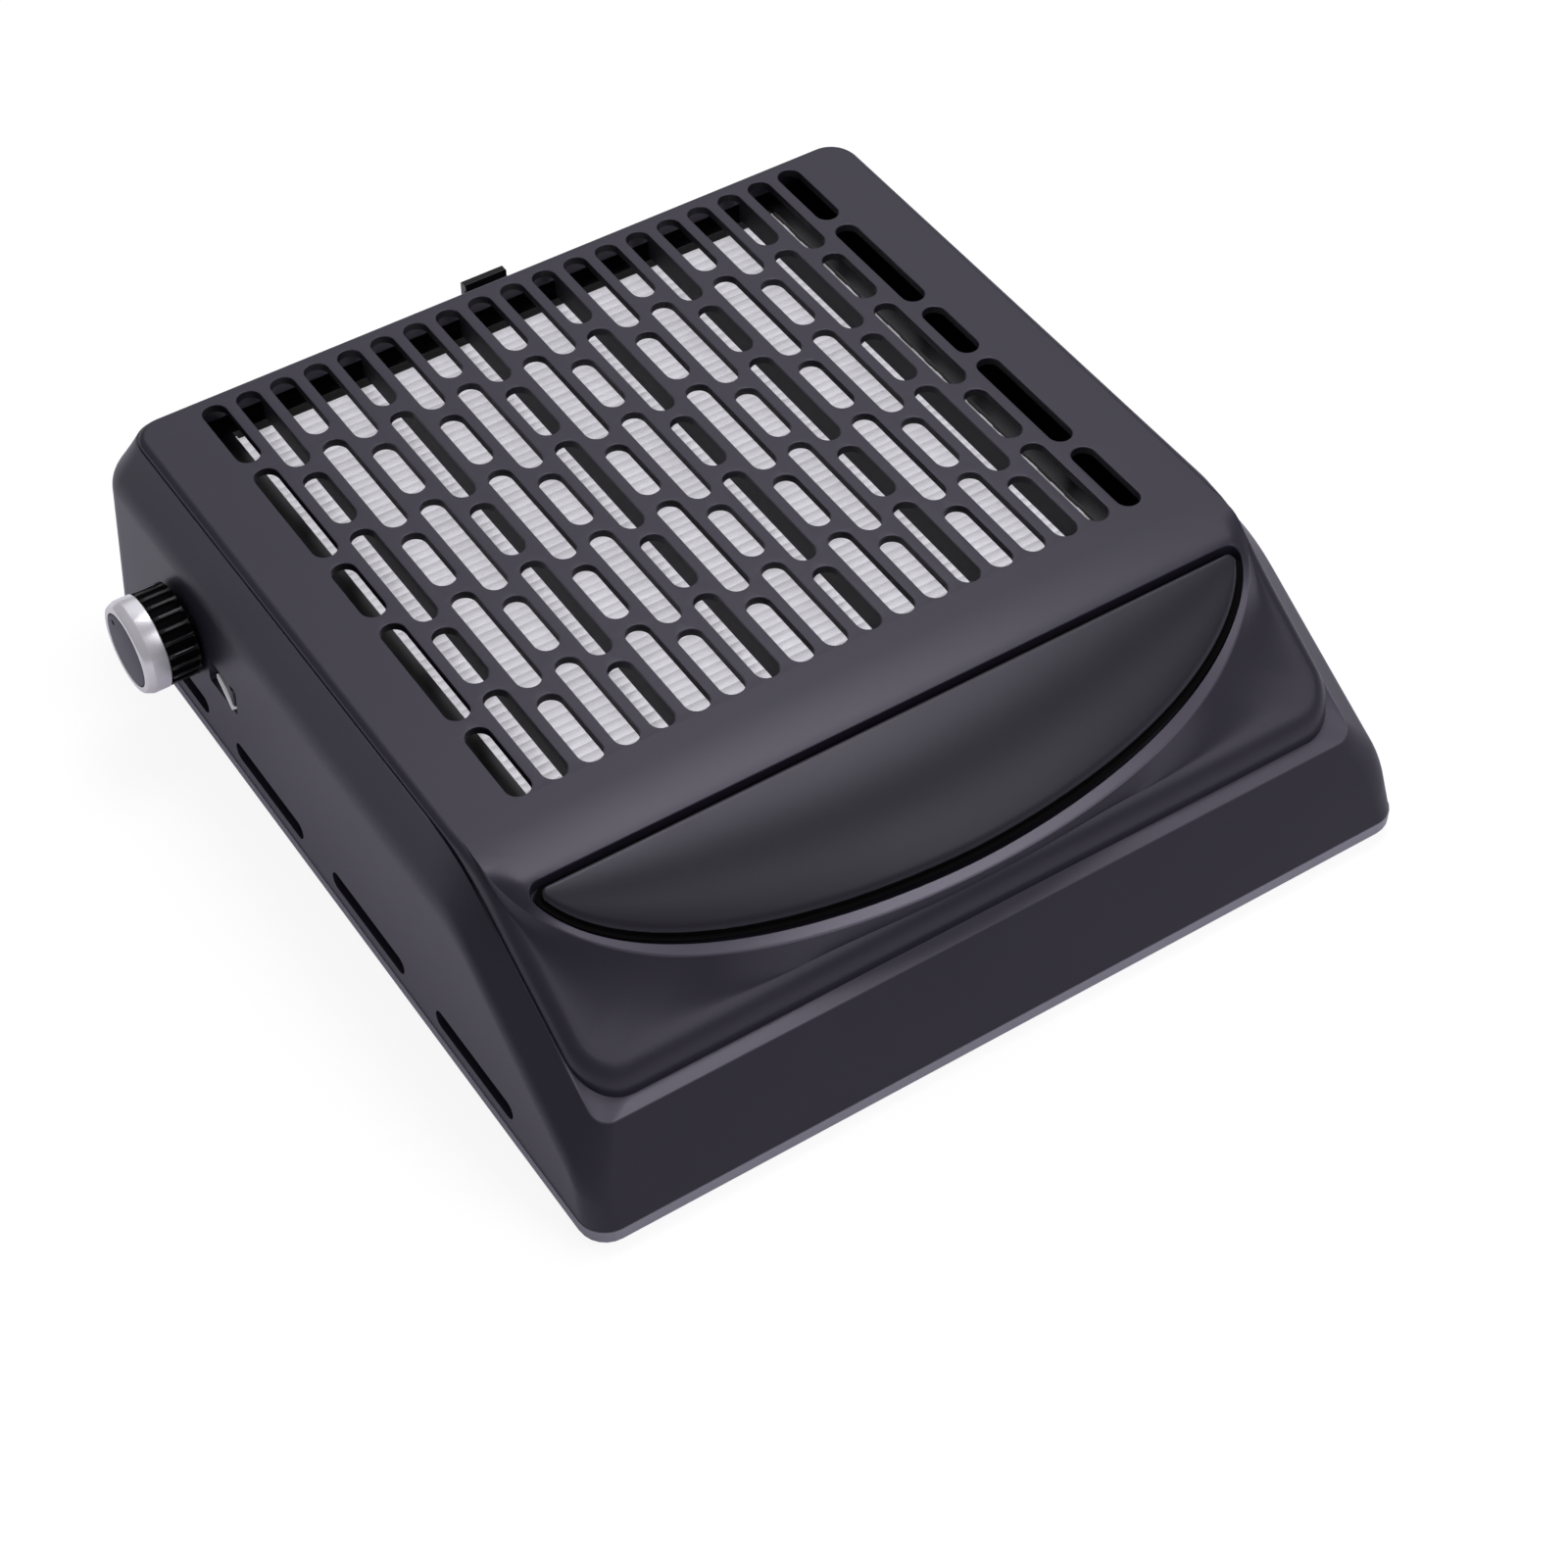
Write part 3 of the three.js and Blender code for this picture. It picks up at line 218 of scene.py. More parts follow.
def finish_mesh(obj, angle):
    """Welds the seams, turns the faces outwards and shades smooth except over sharp edges."""
    bm = bmesh.new()
    bm.from_mesh(obj.data)
    bmesh.ops.remove_doubles(bm, verts=bm.verts, dist=0.004 * MM)
    bmesh.ops.dissolve_degenerate(bm, dist=0.001 * MM, edges=bm.edges)
    bmesh.ops.recalc_face_normals(bm, faces=bm.faces)
    bm.to_mesh(obj.data)
    bm.free()
    obj.data.shade_smooth()
    obj.data.set_sharp_from_angle(angle=math.radians(angle))


def new_object(name, points, faces, angle=35):
    mesh = bpy.data.meshes.new(name)
    mesh.from_pydata(to_frame(points).tolist(), [], [list(map(int, f)) for f in faces])
    obj = bpy.data.objects.new(name, mesh)
    bpy.context.collection.objects.link(obj)
    finish_mesh(obj, angle)
    return obj


def settle(obj, body, stands_for, material):
    """Puts a finished piece on its body, in place of the CAD node it stands for."""
    obj.data.materials.clear()
    obj.data.materials.append(material)
    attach(obj, body)
    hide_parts(stands_for)


def second_finish(obj, material, chosen):
    """Gives the faces whose middle is chosen, by its place in the case, another finish."""
    obj.data.materials.append(material)
    for face in obj.data.polygons:
        if chosen(*to_case(face.center)):
            face.material_index = 1


def mark_polish_and_highlight(obj, spots):
    """Notes on the mesh how polished it is, and so how much painted highlight it gets: spots are places in
    the case, each with its share.
    """
    tree = KDTree(len(spots))
    for k, place in enumerate(to_frame([spot[:3] for spot in spots])):
        tree.insert(place, k)
    tree.balance()
    noted = obj.data.attributes.new("polish", "FLOAT", "POINT")
    for vertex in obj.data.vertices:
        _, k, gap = tree.find(vertex.co)
        noted.data[vertex.index].value = spots[k][3] if gap < 0.02 * MM else 0.0


def strip_faces(rows, columns, start=0, closed=False):
    """Faces of a grid whose rows of points follow each other."""
    faces = []
    span = columns if closed else columns - 1
    for i in range(rows - 1):
        for j in range(span):
            a = start + i * columns + j
            b = start + i * columns + (j + 1) % columns
            faces.append((a, b, b + columns, a + columns))
    return faces


def grid_rim(rows, columns):
    """The numbers of a grid's outer points, in turn round it."""
    rim = [i * columns for i in range(rows)]
    rim += [(rows - 1) * columns + j for j in range(1, columns)]
    rim += [i * columns + columns - 1 for i in range(rows - 2, -1, -1)]
    return rim + list(range(columns - 2, 0, -1))


def flat_faces(loops, start=0):
    """Triangles of a flat outline with holes, numbered along all the loops in turn."""
    vectors = [[Vector((p[0], p[1], 0)) for p in loop] for loop in loops]
    return [tuple(start + k for k in tri) for tri in tessellate_polygon(vectors)]


def cut_holes(obj, tools, angle=35):
    """Takes the tool objects out of a piece, with the result applied."""
    for tool in tools:
        change = obj.modifiers.new("cut", "BOOLEAN")
        change.operation = "DIFFERENCE"
        change.solver = "EXACT"
        change.object = tool
    graph = bpy.context.evaluated_depsgraph_get()
    made = bpy.data.meshes.new_from_object(obj.evaluated_get(graph))
    obj.modifiers.clear()
    obj.data = made
    for tool in tools:
        bpy.data.objects.remove(tool)
    made.shade_smooth()
    made.set_sharp_from_angle(angle=math.radians(angle))


def prism_tool(outline, axis, low, high):
    """A cutting prism: an outline across an axis, given in the order of the other two axes."""
    count = len(outline)
    order = {"x": (1, 2, 0), "y": (0, 2, 1), "z": (0, 1, 2)}[axis]
    points = np.zeros((2 * count, 3))
    for k, (u, v) in enumerate(outline):
        for end, depth in enumerate((low, high)):
            points[end * count + k, list(order)] = (u, v, depth)
    faces = strip_faces(2, count, closed=True)
    faces += [tuple(range(count))[::-1], tuple(range(count, 2 * count))]
    return new_object("tool", points, faces)


def box_outline(u, v):
    return [(u[0], v[0]), (u[1], v[0]), (u[1], v[1]), (u[0], v[1])]


def stadium(cu, cv, width, length, along_first=False, steps=12, grow=0.0):
    """A slot outline with half-round ends."""
    r = width / 2
    half = length / 2 - r
    points = []
    for end in (1, -1):
        for k in range(steps + 1):
            angle = math.pi * k / steps + (0 if end > 0 else math.pi)
            p = ((r + grow) * math.cos(angle), end * half + (r + grow) * math.sin(angle))
            points.append((cu + p[1], cv - p[0]) if along_first else (cu + p[0], cv + p[1]))
    return points


# Housing

SIDE_STATIONS = np.unique(np.concatenate([np.linspace(0, 0.5, 60), np.linspace(0.5, 1, 12)]))


def meet_face(height):
    """The height at which a ring reaches the sloping front face."""
    z = LEDGE_Z
    for _ in range(30):
        z = float(height(face_y(z)))
    return z


def case_ring(height, half_x, front, rear, front_r, rear_r):
    """One closed line round the case, right side first, then the left."""
    right = []
    for k in range(CORNER_STEPS + 1):
        angle = -math.pi / 2 + k * math.pi / 2 / CORNER_STEPS
        right.append((angle, front + front_r, front_r))
    for s in SIDE_STATIONS[1:-1]:
        right.append((0, lerp(front + front_r, rear - rear_r, s), 0))
    for k in range(CORNER_STEPS + 1):
        right.append((k * math.pi / 2 / CORNER_STEPS, rear - rear_r, rear_r))
    points = []
    for angle, centre_y, r in right:
        y = centre_y + r * math.sin(angle)
        centre_x = half_x(float(height(centre_y))) - r
        points.append((centre_x + r * math.cos(angle), y, float(height(y))))
    return points + [(-x, y, z) for x, y, z in reversed(points)]


def wall_foot_z(y):
    return np.full_like(np.asarray(y, float), BASE_TOP + GAP)


def shoulder_levels():
    """Steps up the case: how the wall turns over the shoulder and runs to the crease."""

    def wall(share):
        return lambda y: lerp(BASE_TOP + GAP, wall_z(y) - SHOULDER_TURN, share), 0.0

    def turn(t):
        def height(y):
            top = wall_z(y)
            band = lerp(top, roof_z(y), SHOULDER_REACH)
            return (1 - t) ** 2 * (top - SHOULDER_TURN) + 2 * t * (1 - t) * top + t * t * band

        return height, t * t * SHOULDER_REACH

    def band(mix):
        return lambda y: lerp(wall_z(y), roof_z(y), mix), mix

    steps = [wall(0.85), wall(0.95)]
    steps += [turn(t) for t in np.linspace(0, 1, 9)]
    steps += [band(m) for m in (0.4, 0.6, 0.8, 0.96, 1.0)]
    return steps


def ledge_step(y):
    """How far the ledge lies below the cover's edge, from nothing at the sides to the front."""
    return LEDGE_STEP * float(smoothstep(COVER_FRONT + COVER_FRONT_R - y, 0, COVER_FRONT_R))


def ledge_lift(x, y):
    """How far the ledge in front of the cover rises above the roof's slope, to lie almost level."""
    dx = max(0.0, abs(x) - (COVER_HALF_X - COVER_FRONT_R))
    centre_y = COVER_FRONT + COVER_FRONT_R
    reach = math.hypot(dx, centre_y - y)
    if y >= centre_y or reach <= COVER_FRONT_R:
        return 0.0
    near = centre_y - (centre_y - y) * COVER_FRONT_R / reach
    level = float(roof_z(near)) - ledge_step(near) - LEDGE_SLOPE * (reach - COVER_FRONT_R)
    return max(0.0, level - float(roof_z(y)))


def case_level(height, mix, inset=0.0):
    """A line round the case at a height, from the wall (mix 0) to the crease (mix 1)."""
    lean = inset * math.hypot(1, FACE_LEAN)
    ring = case_ring(
        height,
        lambda z: lerp(side_x(z), CREASE_HALF_X, mix) - inset,
        face_y(meet_face(height)) + lean,
        lerp(rear_y(float(height(BASE_HALF_Y))), CREASE_REAR_Y, mix) - inset,
        *(lerp(low, high, mix) for low, high in zip(WALL_CORNERS, CREASE_CORNERS)),
    )
    lifts = [mix**2 * ledge_lift(x, y) for x, y, _ in ring]
    return [(x, y + FACE_LEAN * lift, z + lift) for (x, y, z), lift in zip(ring, lifts)]


def opening_ring(lower):
    """The edge of the hole that the cover drops into."""
    return case_ring(
        lambda y: roof_z(y) - lower - ledge_step(y),
        lambda z: COVER_HALF_X + SHUT_LINE,
        COVER_FRONT - SHUT_LINE,
        COVER_REAR + SHUT_LINE,
        COVER_FRONT_R + SHUT_LINE,
        COVER_REAR_R + SHUT_LINE,
    )


def housing_piece(material):
    """A shell from the wall's foot up over the shoulder and ledge, into the opening and down inside."""
    outside = [case_level(wall_foot_z, 0)]
    outside += [case_level(height, mix) for height, mix in shoulder_levels()]
    edge, below = opening_ring(lower=0.05), opening_ring(lower=WALL)
    inside = [case_level(lambda y: wall_z(y) - 3, 0, inset=WALL), case_level(wall_foot_z, 0, inset=WALL)]
    rings = outside + [edge, below] + inside
    columns = len(edge)
    points = [p for ring in rings for p in ring]
    faces = strip_faces(len(rings), columns, closed=True)
    last = (len(rings) - 1) * columns
    for j in range(columns):
        k = (j + 1) % columns
        faces.append((last + j, last + k, k, j))
    obj = new_object("housing_shell", points, faces)
    cut_holes(obj, housing_tools(), angle=32)
    ledge = outside[-1] + edge
    # The ledge's front gets polish and a painted highlight.
    mark_polish_and_highlight(obj, [(x, y, z, float(smoothstep(y, *LEDGE_POLISH_AND_HIGHLIGHT_Y))) for x, y, z in ledge])
    settle(obj, "case", "outer_housing", material)


def housing_tools():
    """What is cut out of the walls: vents, the drawer's window, rocker, knob shaft and inlet."""
    right, left, rear = (110, 140), (-140, -110), (116, 145)
    tools = []
    for k in range(VENTS):
        vent = stadium(VENT_Y + VENT_PITCH * k, VENT_Z, VENT_WIDTH, VENT_LENGTH, along_first=True)
        tools += [prism_tool(vent, "x", *right), prism_tool(vent, "x", *left)]
    tools.append(prism_tool(box_outline(DRAWER_X, DRAWER_Z), "y", *rear))
    window = rounded_box(ROCKER_Y, ROCKER_Z, half_u=8.2, half_v=4.2, r=1.0)
    tools.append(prism_tool(window, "x", *left))
    tools.append(prism_tool(circle_outline(KNOB_Y, KNOB_Z, KNOB_HOLE_R), "x", *left))
    tools.append(prism_tool(box_outline(INLET_X, INLET_Z), "y", *rear))
    return tools


def circle_outline(cu, cv, r, steps=40):
    angles = [2 * math.pi * k / steps for k in range(steps)]
    return [(cu + r * math.cos(a), cv + r * math.sin(a)) for a in angles]


def rounded_box(cu, cv, half_u, half_v, r, steps=5):
    points = []
    for su, sv, start in ((1, 1, 0), (-1, 1, 90), (-1, -1, 180), (1, -1, 270)):
        for k in range(steps + 1):
            a = math.radians(start + 90 * k / steps)
            u = cu + su * (half_u - r) + r * math.cos(a)
            v = cv + sv * (half_v - r) + r * math.sin(a)
            points.append((u, v))
    return points


# Cover

def brow_z(y):
    return BROW_LOW + (PANEL_Z - BROW_LOW) * smoothstep(y, BROW_FRONT_Y, BROW_REAR_Y)


def top_z(y):
    return PANEL_Z - np.clip(TOP_BEND_Y - y, 0, None) ** 2 / (2 * TOP_BEND_R)


def arc_y(x, inset=0.0):
    share = np.clip(1 - np.abs(x / (PAD_A - inset)) ** PAD_POWER, 0, None)
    return PAD_Y - (PAD_B - inset) * share ** (1 / PAD_POWER)


def rim_inner_z(y):
    rise = np.clip((y - PAD_Y + PAD_B) / PAD_B, 0, 1.3)
    return brow_z(y) + RIM_RAISE + RIM_TIP_RISE * rise**4


def crest_z(y):
    """The height round the pocket: the top's gentle bend melts into the rim."""
    melt = 1.2
    bend, rim = top_z(y), rim_inner_z(y)
    share = np.clip(0.5 + 0.5 * (rim - bend) / melt, 0, 1)
    return lerp(rim, bend, share) - melt * share * (1 - share)


def brow_share(x, y):
    """How far out a point lies from the middle of the brow: 1 on the brow line."""
    return np.hypot(x / BROW_A, np.clip(BROW_Y - y, 0, None) / BROW_B)


def surface_z(x, y):
    """The cover's upper surface between the pocket, the plate and the brow line."""
    soft = lerp(0.018, 0.045, smoothstep(y, *BROW_SOFT_Y))
    inside = np.clip((1 - brow_share(x, y)) / soft, 0, 1)
    crest = crest_z(y)
    return lerp(np.minimum(brow_z(y) + 0.2, crest), crest, 1 - (1 - inside) ** 2)


def pad_z(x, y):
    """The hand rest leaves the chord gently and turns down ever faster to the arc."""
    inside = np.clip(np.abs(x), 0, PAD_A - 0.5)
    end = arc_y(inside)
    s = np.clip((PAD_Y - y) / (PAD_Y - end), 0, 1)
    drop = PAD_Z - rim_inner_z(end) - 1.2 * np.sqrt(1 - (inside / PAD_A) ** 2)
    return PAD_Z - drop * (0.43 * s + 0.57 * s**3)


def rim_share(y):
    """How far the rim counts: not at the hand rest's tips, fully from 12 mm in front of its chord."""
    return float(smoothstep(PAD_Y - y, 3, 12))


def outline_distance(x, y):
    """How far outside the cover's front outline a point lies; negative inside."""
    dx = abs(x) - (COVER_HALF_X - COVER_FRONT_R)
    dy = COVER_FRONT + COVER_FRONT_R - y
    outside = math.hypot(max(dx, 0), max(dy, 0))
    return outside + min(max(dx, dy), 0) - COVER_FRONT_R


def edge_inset(y):
    """How far inside the outline the cover's edge starts to round over."""
    behind = lerp(EDGE_NARROW, EDGE_WIDE, smoothstep(y, BROW_Y, SEAM_Y))
    return float(lerp(EDGE_FRONT, behind, smoothstep(y, *EDGE_TURN_Y)))


def outward(x, y, inset):
    """From the middle of the brow through a point, to the line that lies inset from the outline."""
    near, far = 0.5, 3.0
    for _ in range(36):
        mid = (near + far) / 2
        px, py = x * mid, BROW_Y + (y - BROW_Y) * mid
        if outline_distance(px, py) < -inset(py):
            near = mid
        else:
            far = mid
    return x * near, BROW_Y + (y - BROW_Y) * near


ARC_SHARES = np.linspace(-1, 1, 171)
CHORD_SHARES = np.unique(np.concatenate([np.linspace(0, 0.9, 40), np.linspace(0.9, 0.997, 16)]))
RIM_STEPS = 1 - (1 - np.linspace(0, 1, 15)[1:]) ** 1.3
EDGE_TURNS = [math.radians(degrees) for degrees in range(15, 91, 15)]
LIP_TURNS = [math.radians(degrees) for degrees in range(0, 91, 30)]


def crescent_line(arc_inset, chord_inset, radius):
    """The hand rest's outline: along the arc from the left to the right tip, and back along the chord."""
    a, b, top = PAD_A - arc_inset, PAD_B - arc_inset, PAD_Y - chord_inset
    centre_y = top - radius
    tip = a * (1 - ((PAD_Y - centre_y) / b) ** PAD_POWER) ** (1 / PAD_POWER)
    last = math.acos((chord_inset / b) ** (PAD_POWER / 2))
    line = []
    for share in ARC_SHARES:
        turn = share * last
        x = math.copysign(a * abs(math.sin(turn)) ** (2 / PAD_POWER), turn)
        line.append((x, PAD_Y - b * max(0.0, math.cos(turn)) ** (2 / PAD_POWER)))
    for share in CHORD_SHARES[::-1]:
        line.append((tip * share, top))
    for share in CHORD_SHARES[1:]:
        line.append((-tip * share, top))
    rounded = []
    for x, y in line:
        dx, dy = abs(x) - (tip - radius), y - centre_y
        if dx > 0 and dy > 0:
            reach = math.hypot(dx, dy)
            x = math.copysign(tip - radius + radius * dx / reach, x)
            y = centre_y + radius * dy / reach
        rounded.append((x, y))
    return rounded


def rim_targets(outline):
    """Where the surface that leaves each point of the pocket ends: on the brow line or at the plate."""
    arc = len(ARC_SHARES)
    targets = []
    for x, y in outline[:arc]:
        out = 1 / float(brow_share(x, min(y, BROW_Y)))
        targets.append((x * out, BROW_Y + (y - BROW_Y) * out))
    tip_y = targets[-1][1]
    corner = 0.86
    shares = list(CHORD_SHARES[::-1]) + [-share for share in CHORD_SHARES[1:]]
    for share in shares:
        if abs(share) <= corner:
            targets.append((BROW_A * share / corner, SEAM_Y))
            continue
        y = lerp(SEAM_Y, tip_y, (abs(share) - corner) / (1 - corner))
        x = BROW_A * math.sqrt(1 - (max(0.0, BROW_Y - y) / BROW_B) ** 2)
        targets.append((math.copysign(x, share), y))
    return targets


def narrowed(x, y):
    """The brow line draws in to the plate's edge behind the hand rest."""
    reach = BROW_A - (COVER_HALF_X - EDGE_WIDE - 0.05)
    return x * (1 - reach / BROW_A * float(smoothstep(y, BROW_Y, SEAM_Y)))


def edge_column(x, y, z, sideward):
    """From the brow out through the hollow to the rounded edge and down the skirt."""
    if sideward:
        ex, ey = math.copysign(COVER_HALF_X - edge_inset(y), x), y
    else:
        ex, ey = outward(x, y, edge_inset)
    span = math.hypot(ex - x, ey - y)
    lift = z - float(field_z(y))
    points = []
    for v in np.linspace(0, 1, 17)[1:] ** 1.35:
        px, py = lerp(x, ex, v), lerp(y, ey, v)
        w = min(1.0, v * max(1.0, span / 25))
        points.append((px, py, float(field_z(py)) + lift * (1 - w) ** 2.2))
    fall = float(field_z(ey) - roof_z(ey)) - 0.2
    for turn in EDGE_TURNS:

        def inset(py):
            return edge_inset(py) * (1 - math.sin(turn))

        if sideward:
            px, py = math.copysign(COVER_HALF_X - inset(y), x), y
        else:
            px, py = outward(x, y, inset)
        points.append((px, py, float(field_z(py)) - fall * (1 - math.cos(turn))))
    px, py, _ = points[-1]
    points.append((px, py, float(roof_z(py)) - SKIRT_DEPTH))
    return points


def swept_front():
    """Points and faces of the cover's front: pocket, rim, top, hollow, edge and skirt.

    Also given: the seam that the plate joins, and the rim's points with how polished each is, which also sets
    their painted highlight.
    """
    outline = crescent_line(0, 0, PAD_CORNER)
    targets = rim_targets(outline)
    count = len(outline)
    after_lip = 1 + len(LIP_TURNS)
    rings = [[] for _ in range(after_lip + len(RIM_STEPS))]
    for (x, y), (ox, oy) in zip(outline, targets):
        span = math.hypot(ox - x, oy - y)
        ux, uy = (ox - x) / span, (oy - y) / span
        level = rim_share(y)
        z = lerp(float(surface_z(x + LIP * ux, y + LIP * uy)), float(crest_z(y)), level)
        rings[0].append((x, y, z - POCKET_DEPTH))
        for k, turn in enumerate(LIP_TURNS):
            out = LIP * (1 - math.cos(turn))
            rings[1 + k].append((x + out * ux, y + out * uy, z - LIP * (1 - math.sin(turn))))
        for k, share in enumerate(RIM_STEPS):
            px, py = lerp(x + LIP * ux, ox, share), lerp(y + LIP * uy, oy, share)
            fall = RIM_SLOPE * share * (span - LIP) + BROW_DROP * max(0.0, (share - 0.9) / 0.1) ** 2
            height = lerp(float(surface_z(px, py)), z - fall, level)
            rings[after_lip + k].append((narrowed(px, py), py, height))
    points = [p for ring in rings for p in ring]
    faces = strip_faces(len(rings), count, closed=True)
    faces += flat_faces([rings[0]])
    outer = len(points) - count
    chord = range(len(ARC_SHARES), count)
    seam = [k for k in chord if targets[k][1] > SEAM_Y - 1e-6]
    border = [*range(seam[-1], count), *range(seam[0] + 1)]
    rows = []
    for index in border:
        first = len(points)
        points += edge_column(*points[outer + index], targets[index][1] >= BROW_Y - 1e-6)
        rows.append([outer + index] + list(range(first, len(points))))
    for a, b in zip(rows, rows[1:]):
        faces += [(a[j], b[j], b[j + 1], a[j + 1]) for j in range(len(a) - 1)]
    rim = [(*p, rim_share(p[1])) for ring in rings[after_lip - 1:] for p in ring]
    return points, faces, [points[outer + k] for k in reversed(seam)], rim


PLATE_SIDE_Y = (SEAM_Y, -52, -50, -48, -46, -44, -41, -38, -34)


def plate_line(inset, height):
    """The plate's outline from the seam round the rear and back to the seam."""
    r = COVER_REAR_R - inset
    half = COVER_HALF_X - inset
    rear = COVER_REAR - inset
    right = [(half, y) for y in PLATE_SIDE_Y]
    for k in range(13):
        a = math.radians(90 * k / 12)
        right.append((half - r + r * math.cos(a), rear - r + r * math.sin(a)))
    line = right + [(-x, y) for x, y in reversed(right)]
    return [(x, y, float(height(y))) for x, y in line]


def slot_places():
    """Centre and length of every slot: two alternating columns of long and short ones."""
    step = (SLOT_LONG + SLOT_SHORT) / 2 + SLOT_GAP
    middle = SLOT_REAR_Y - SLOT_FIELD / 2
    for column in range(SLOT_COLUMNS):
        x = (column - (SLOT_COLUMNS - 1) / 2) * SLOT_PITCH
        even = column % 2 == 0
        for k in (-1, 0, 1):
            long = (k != 0) == even
            yield x, middle + k * step, SLOT_LONG if long else SLOT_SHORT
        reach = step + (SLOT_LONG if even else SLOT_SHORT) / 2 + SLOT_GAP
        end = SLOT_FIELD / 2 - reach
        for side in (-1, 1):
            yield x, middle + side * (reach + end / 2), end


def plate(seam):
    """Points and faces of the slotted plate, its slots' rounded lips and walls, and its underside."""
    points, faces = [], []
    slots = list(slot_places())
    rings = []
    for grow in (SLOT_LIP, 0.1, 0):
        rings.append([stadium(x, y, SLOT_WIDTH, length, grow=grow) for x, y, length in slots])
    top_line = plate_line(EDGE_WIDE, lambda y: PANEL_Z)
    outer = [(x, y) for x, y, _ in seam] + [(x, y) for x, y, _ in top_line]
    loops = [outer] + rings[0]
    for loop in loops:
        points += [(x, y, PANEL_Z) for x, y in loop]
    faces += flat_faces(loops)
    heights = (PANEL_Z, PANEL_Z - 0.1, PANEL_Z - SLOT_LIP, PANEL_Z - WALL)
    for k in range(len(slots)):
        start = len(points)
        walls = [rings[0][k], rings[1][k], rings[2][k], rings[2][k]]
        for outline, z in zip(walls, heights):
            points += [(x, y, z) for x, y in outline]
        faces += strip_faces(4, len(rings[0][k]), start, closed=True)
    start = len(points)
    lines = [top_line]
    for turn in EDGE_TURNS:
        inset, fall = EDGE_WIDE * (1 - math.sin(turn)), 1 - math.cos(turn)
        lines.append(plate_line(inset, lambda y: PANEL_Z - (PANEL_Z - 0.2 - roof_z(y)) * fall))
    lines.append(plate_line(0, lambda y: roof_z(y) - SKIRT_DEPTH))
    lines.append(plate_line(WALL, lambda y: roof_z(y) - SKIRT_DEPTH))
    lines.append(plate_line(WALL, lambda y: PANEL_Z - WALL))
    for line in lines:
        points += line
    faces += strip_faces(len(lines), len(top_line), start)
    start = len(points)
    loops = [[(x, y) for x, y, _ in lines[-1]]] + rings[2]
    for loop in loops:
        points += [(x, y, PANEL_Z - WALL) for x, y in loop]
    faces += flat_faces(loops, start)
    return points, faces


def add_ribs(points, faces):
    """Six stiffening ribs run from front to rear under the plate, between slot columns."""
    root, foot = (0.9, PANEL_Z - WALL + 0.05), (0.75, 62.4)
    section = [(-root[0], root[1]), (-foot[0], foot[1]), foot, root]
    for column in np.arange(1.5, SLOT_COLUMNS - 1, 3):
        x = (column - (SLOT_COLUMNS - 1) / 2) * SLOT_PITCH
        start = len(points)
        for y in (SEAM_Y, SLOT_REAR_Y - 1.5):
            points += [(x + dx, y, z) for dx, z in section]
        faces += [(start + a, start + a + 1, start + a + 5, start + a + 4) for a in range(3)]
        faces += [tuple(start + a for a in range(4)), tuple(start + 4 + a for a in range(4))]


def beneath_plate(x, y, z):
    """Whether a point lies on a slot's wall, on a rib or on the plate's underside, which are painted darker
    as shade.
    """
    inside = abs(x) < COVER_HALF_X - WALL - 0.1 and SEAM_Y < y < COVER_REAR - WALL - 0.1
    return inside and z < PANEL_Z - 0.4


def cover_piece(material, painted_inside_shade):
    points, faces, seam, rim = swept_front()
    plate_points, plate_faces = plate(seam)
    shift = len(points)
    points = points + plate_points
    faces = faces + [tuple(k + shift for k in f) for f in plate_faces]
    add_ribs(points, faces)
    obj = new_object("cover_shell", points, faces, angle=24)
    mark_polish_and_highlight(obj, rim)
    even = obj.modifiers.new("even_shading", "WEIGHTED_NORMAL")
    even.keep_sharp = True
    settle(obj, "case", "top_cover", material)
    # The slot walls, ribs and underside take a darker charcoal: painted shade.
    second_finish(obj, painted_inside_shade, beneath_plate)


# Hand rest

def pad_grid():
    """Rows of points across the hand rest, with how deep each lies inside the outline."""
    radius = 2.2
    line = crescent_line(PAD_GROOVE, PAD_GROOVE, radius)
    corners = np.array(line + line[:1])
    steps = np.arange(len(line) + 1e-9, step=1 / 24)
    edge = np.stack([np.interp(steps, np.arange(len(corners)), corners[:, k]) for k in (0, 1)], axis=1)
    centre_y = PAD_Y - PAD_GROOVE - radius
    tip = float(edge[:, 0].max())
    at_edge = [0, 0.004, 0.012, 0.024, 0.04]
    share = [*at_edge, *np.linspace(0.06, 0.94, 28), *(1 - s for s in at_edge[::-1])]
    grid = []
    for degrees in np.linspace(-90, 90, 151):
        x = tip * math.sin(math.radians(degrees))
        past = min(radius, max(0.0, abs(x) - (tip - radius)))
        high = centre_y + math.sqrt(radius**2 - past**2)
        low = min(high, float(arc_y(x, PAD_GROOVE)))
        for s in share:
            y = lerp(high, low, s)
            grid.append((x, y, float(np.hypot(edge[:, 0] - x, edge[:, 1] - y).min())))
    return grid, len(share)


def pad_top_z(x, y):
    return float(pad_z(x, y)) + PAD_PROUD


def in_groove(x, y, z):
    """Whether a point of the hand rest lies down in the groove round it, where it is painted near-black as
    shade.
    """
    return z < pad_top_z(x, y) - 1.25 or y < float(arc_y(x, PAD_GROOVE)) - 0.1


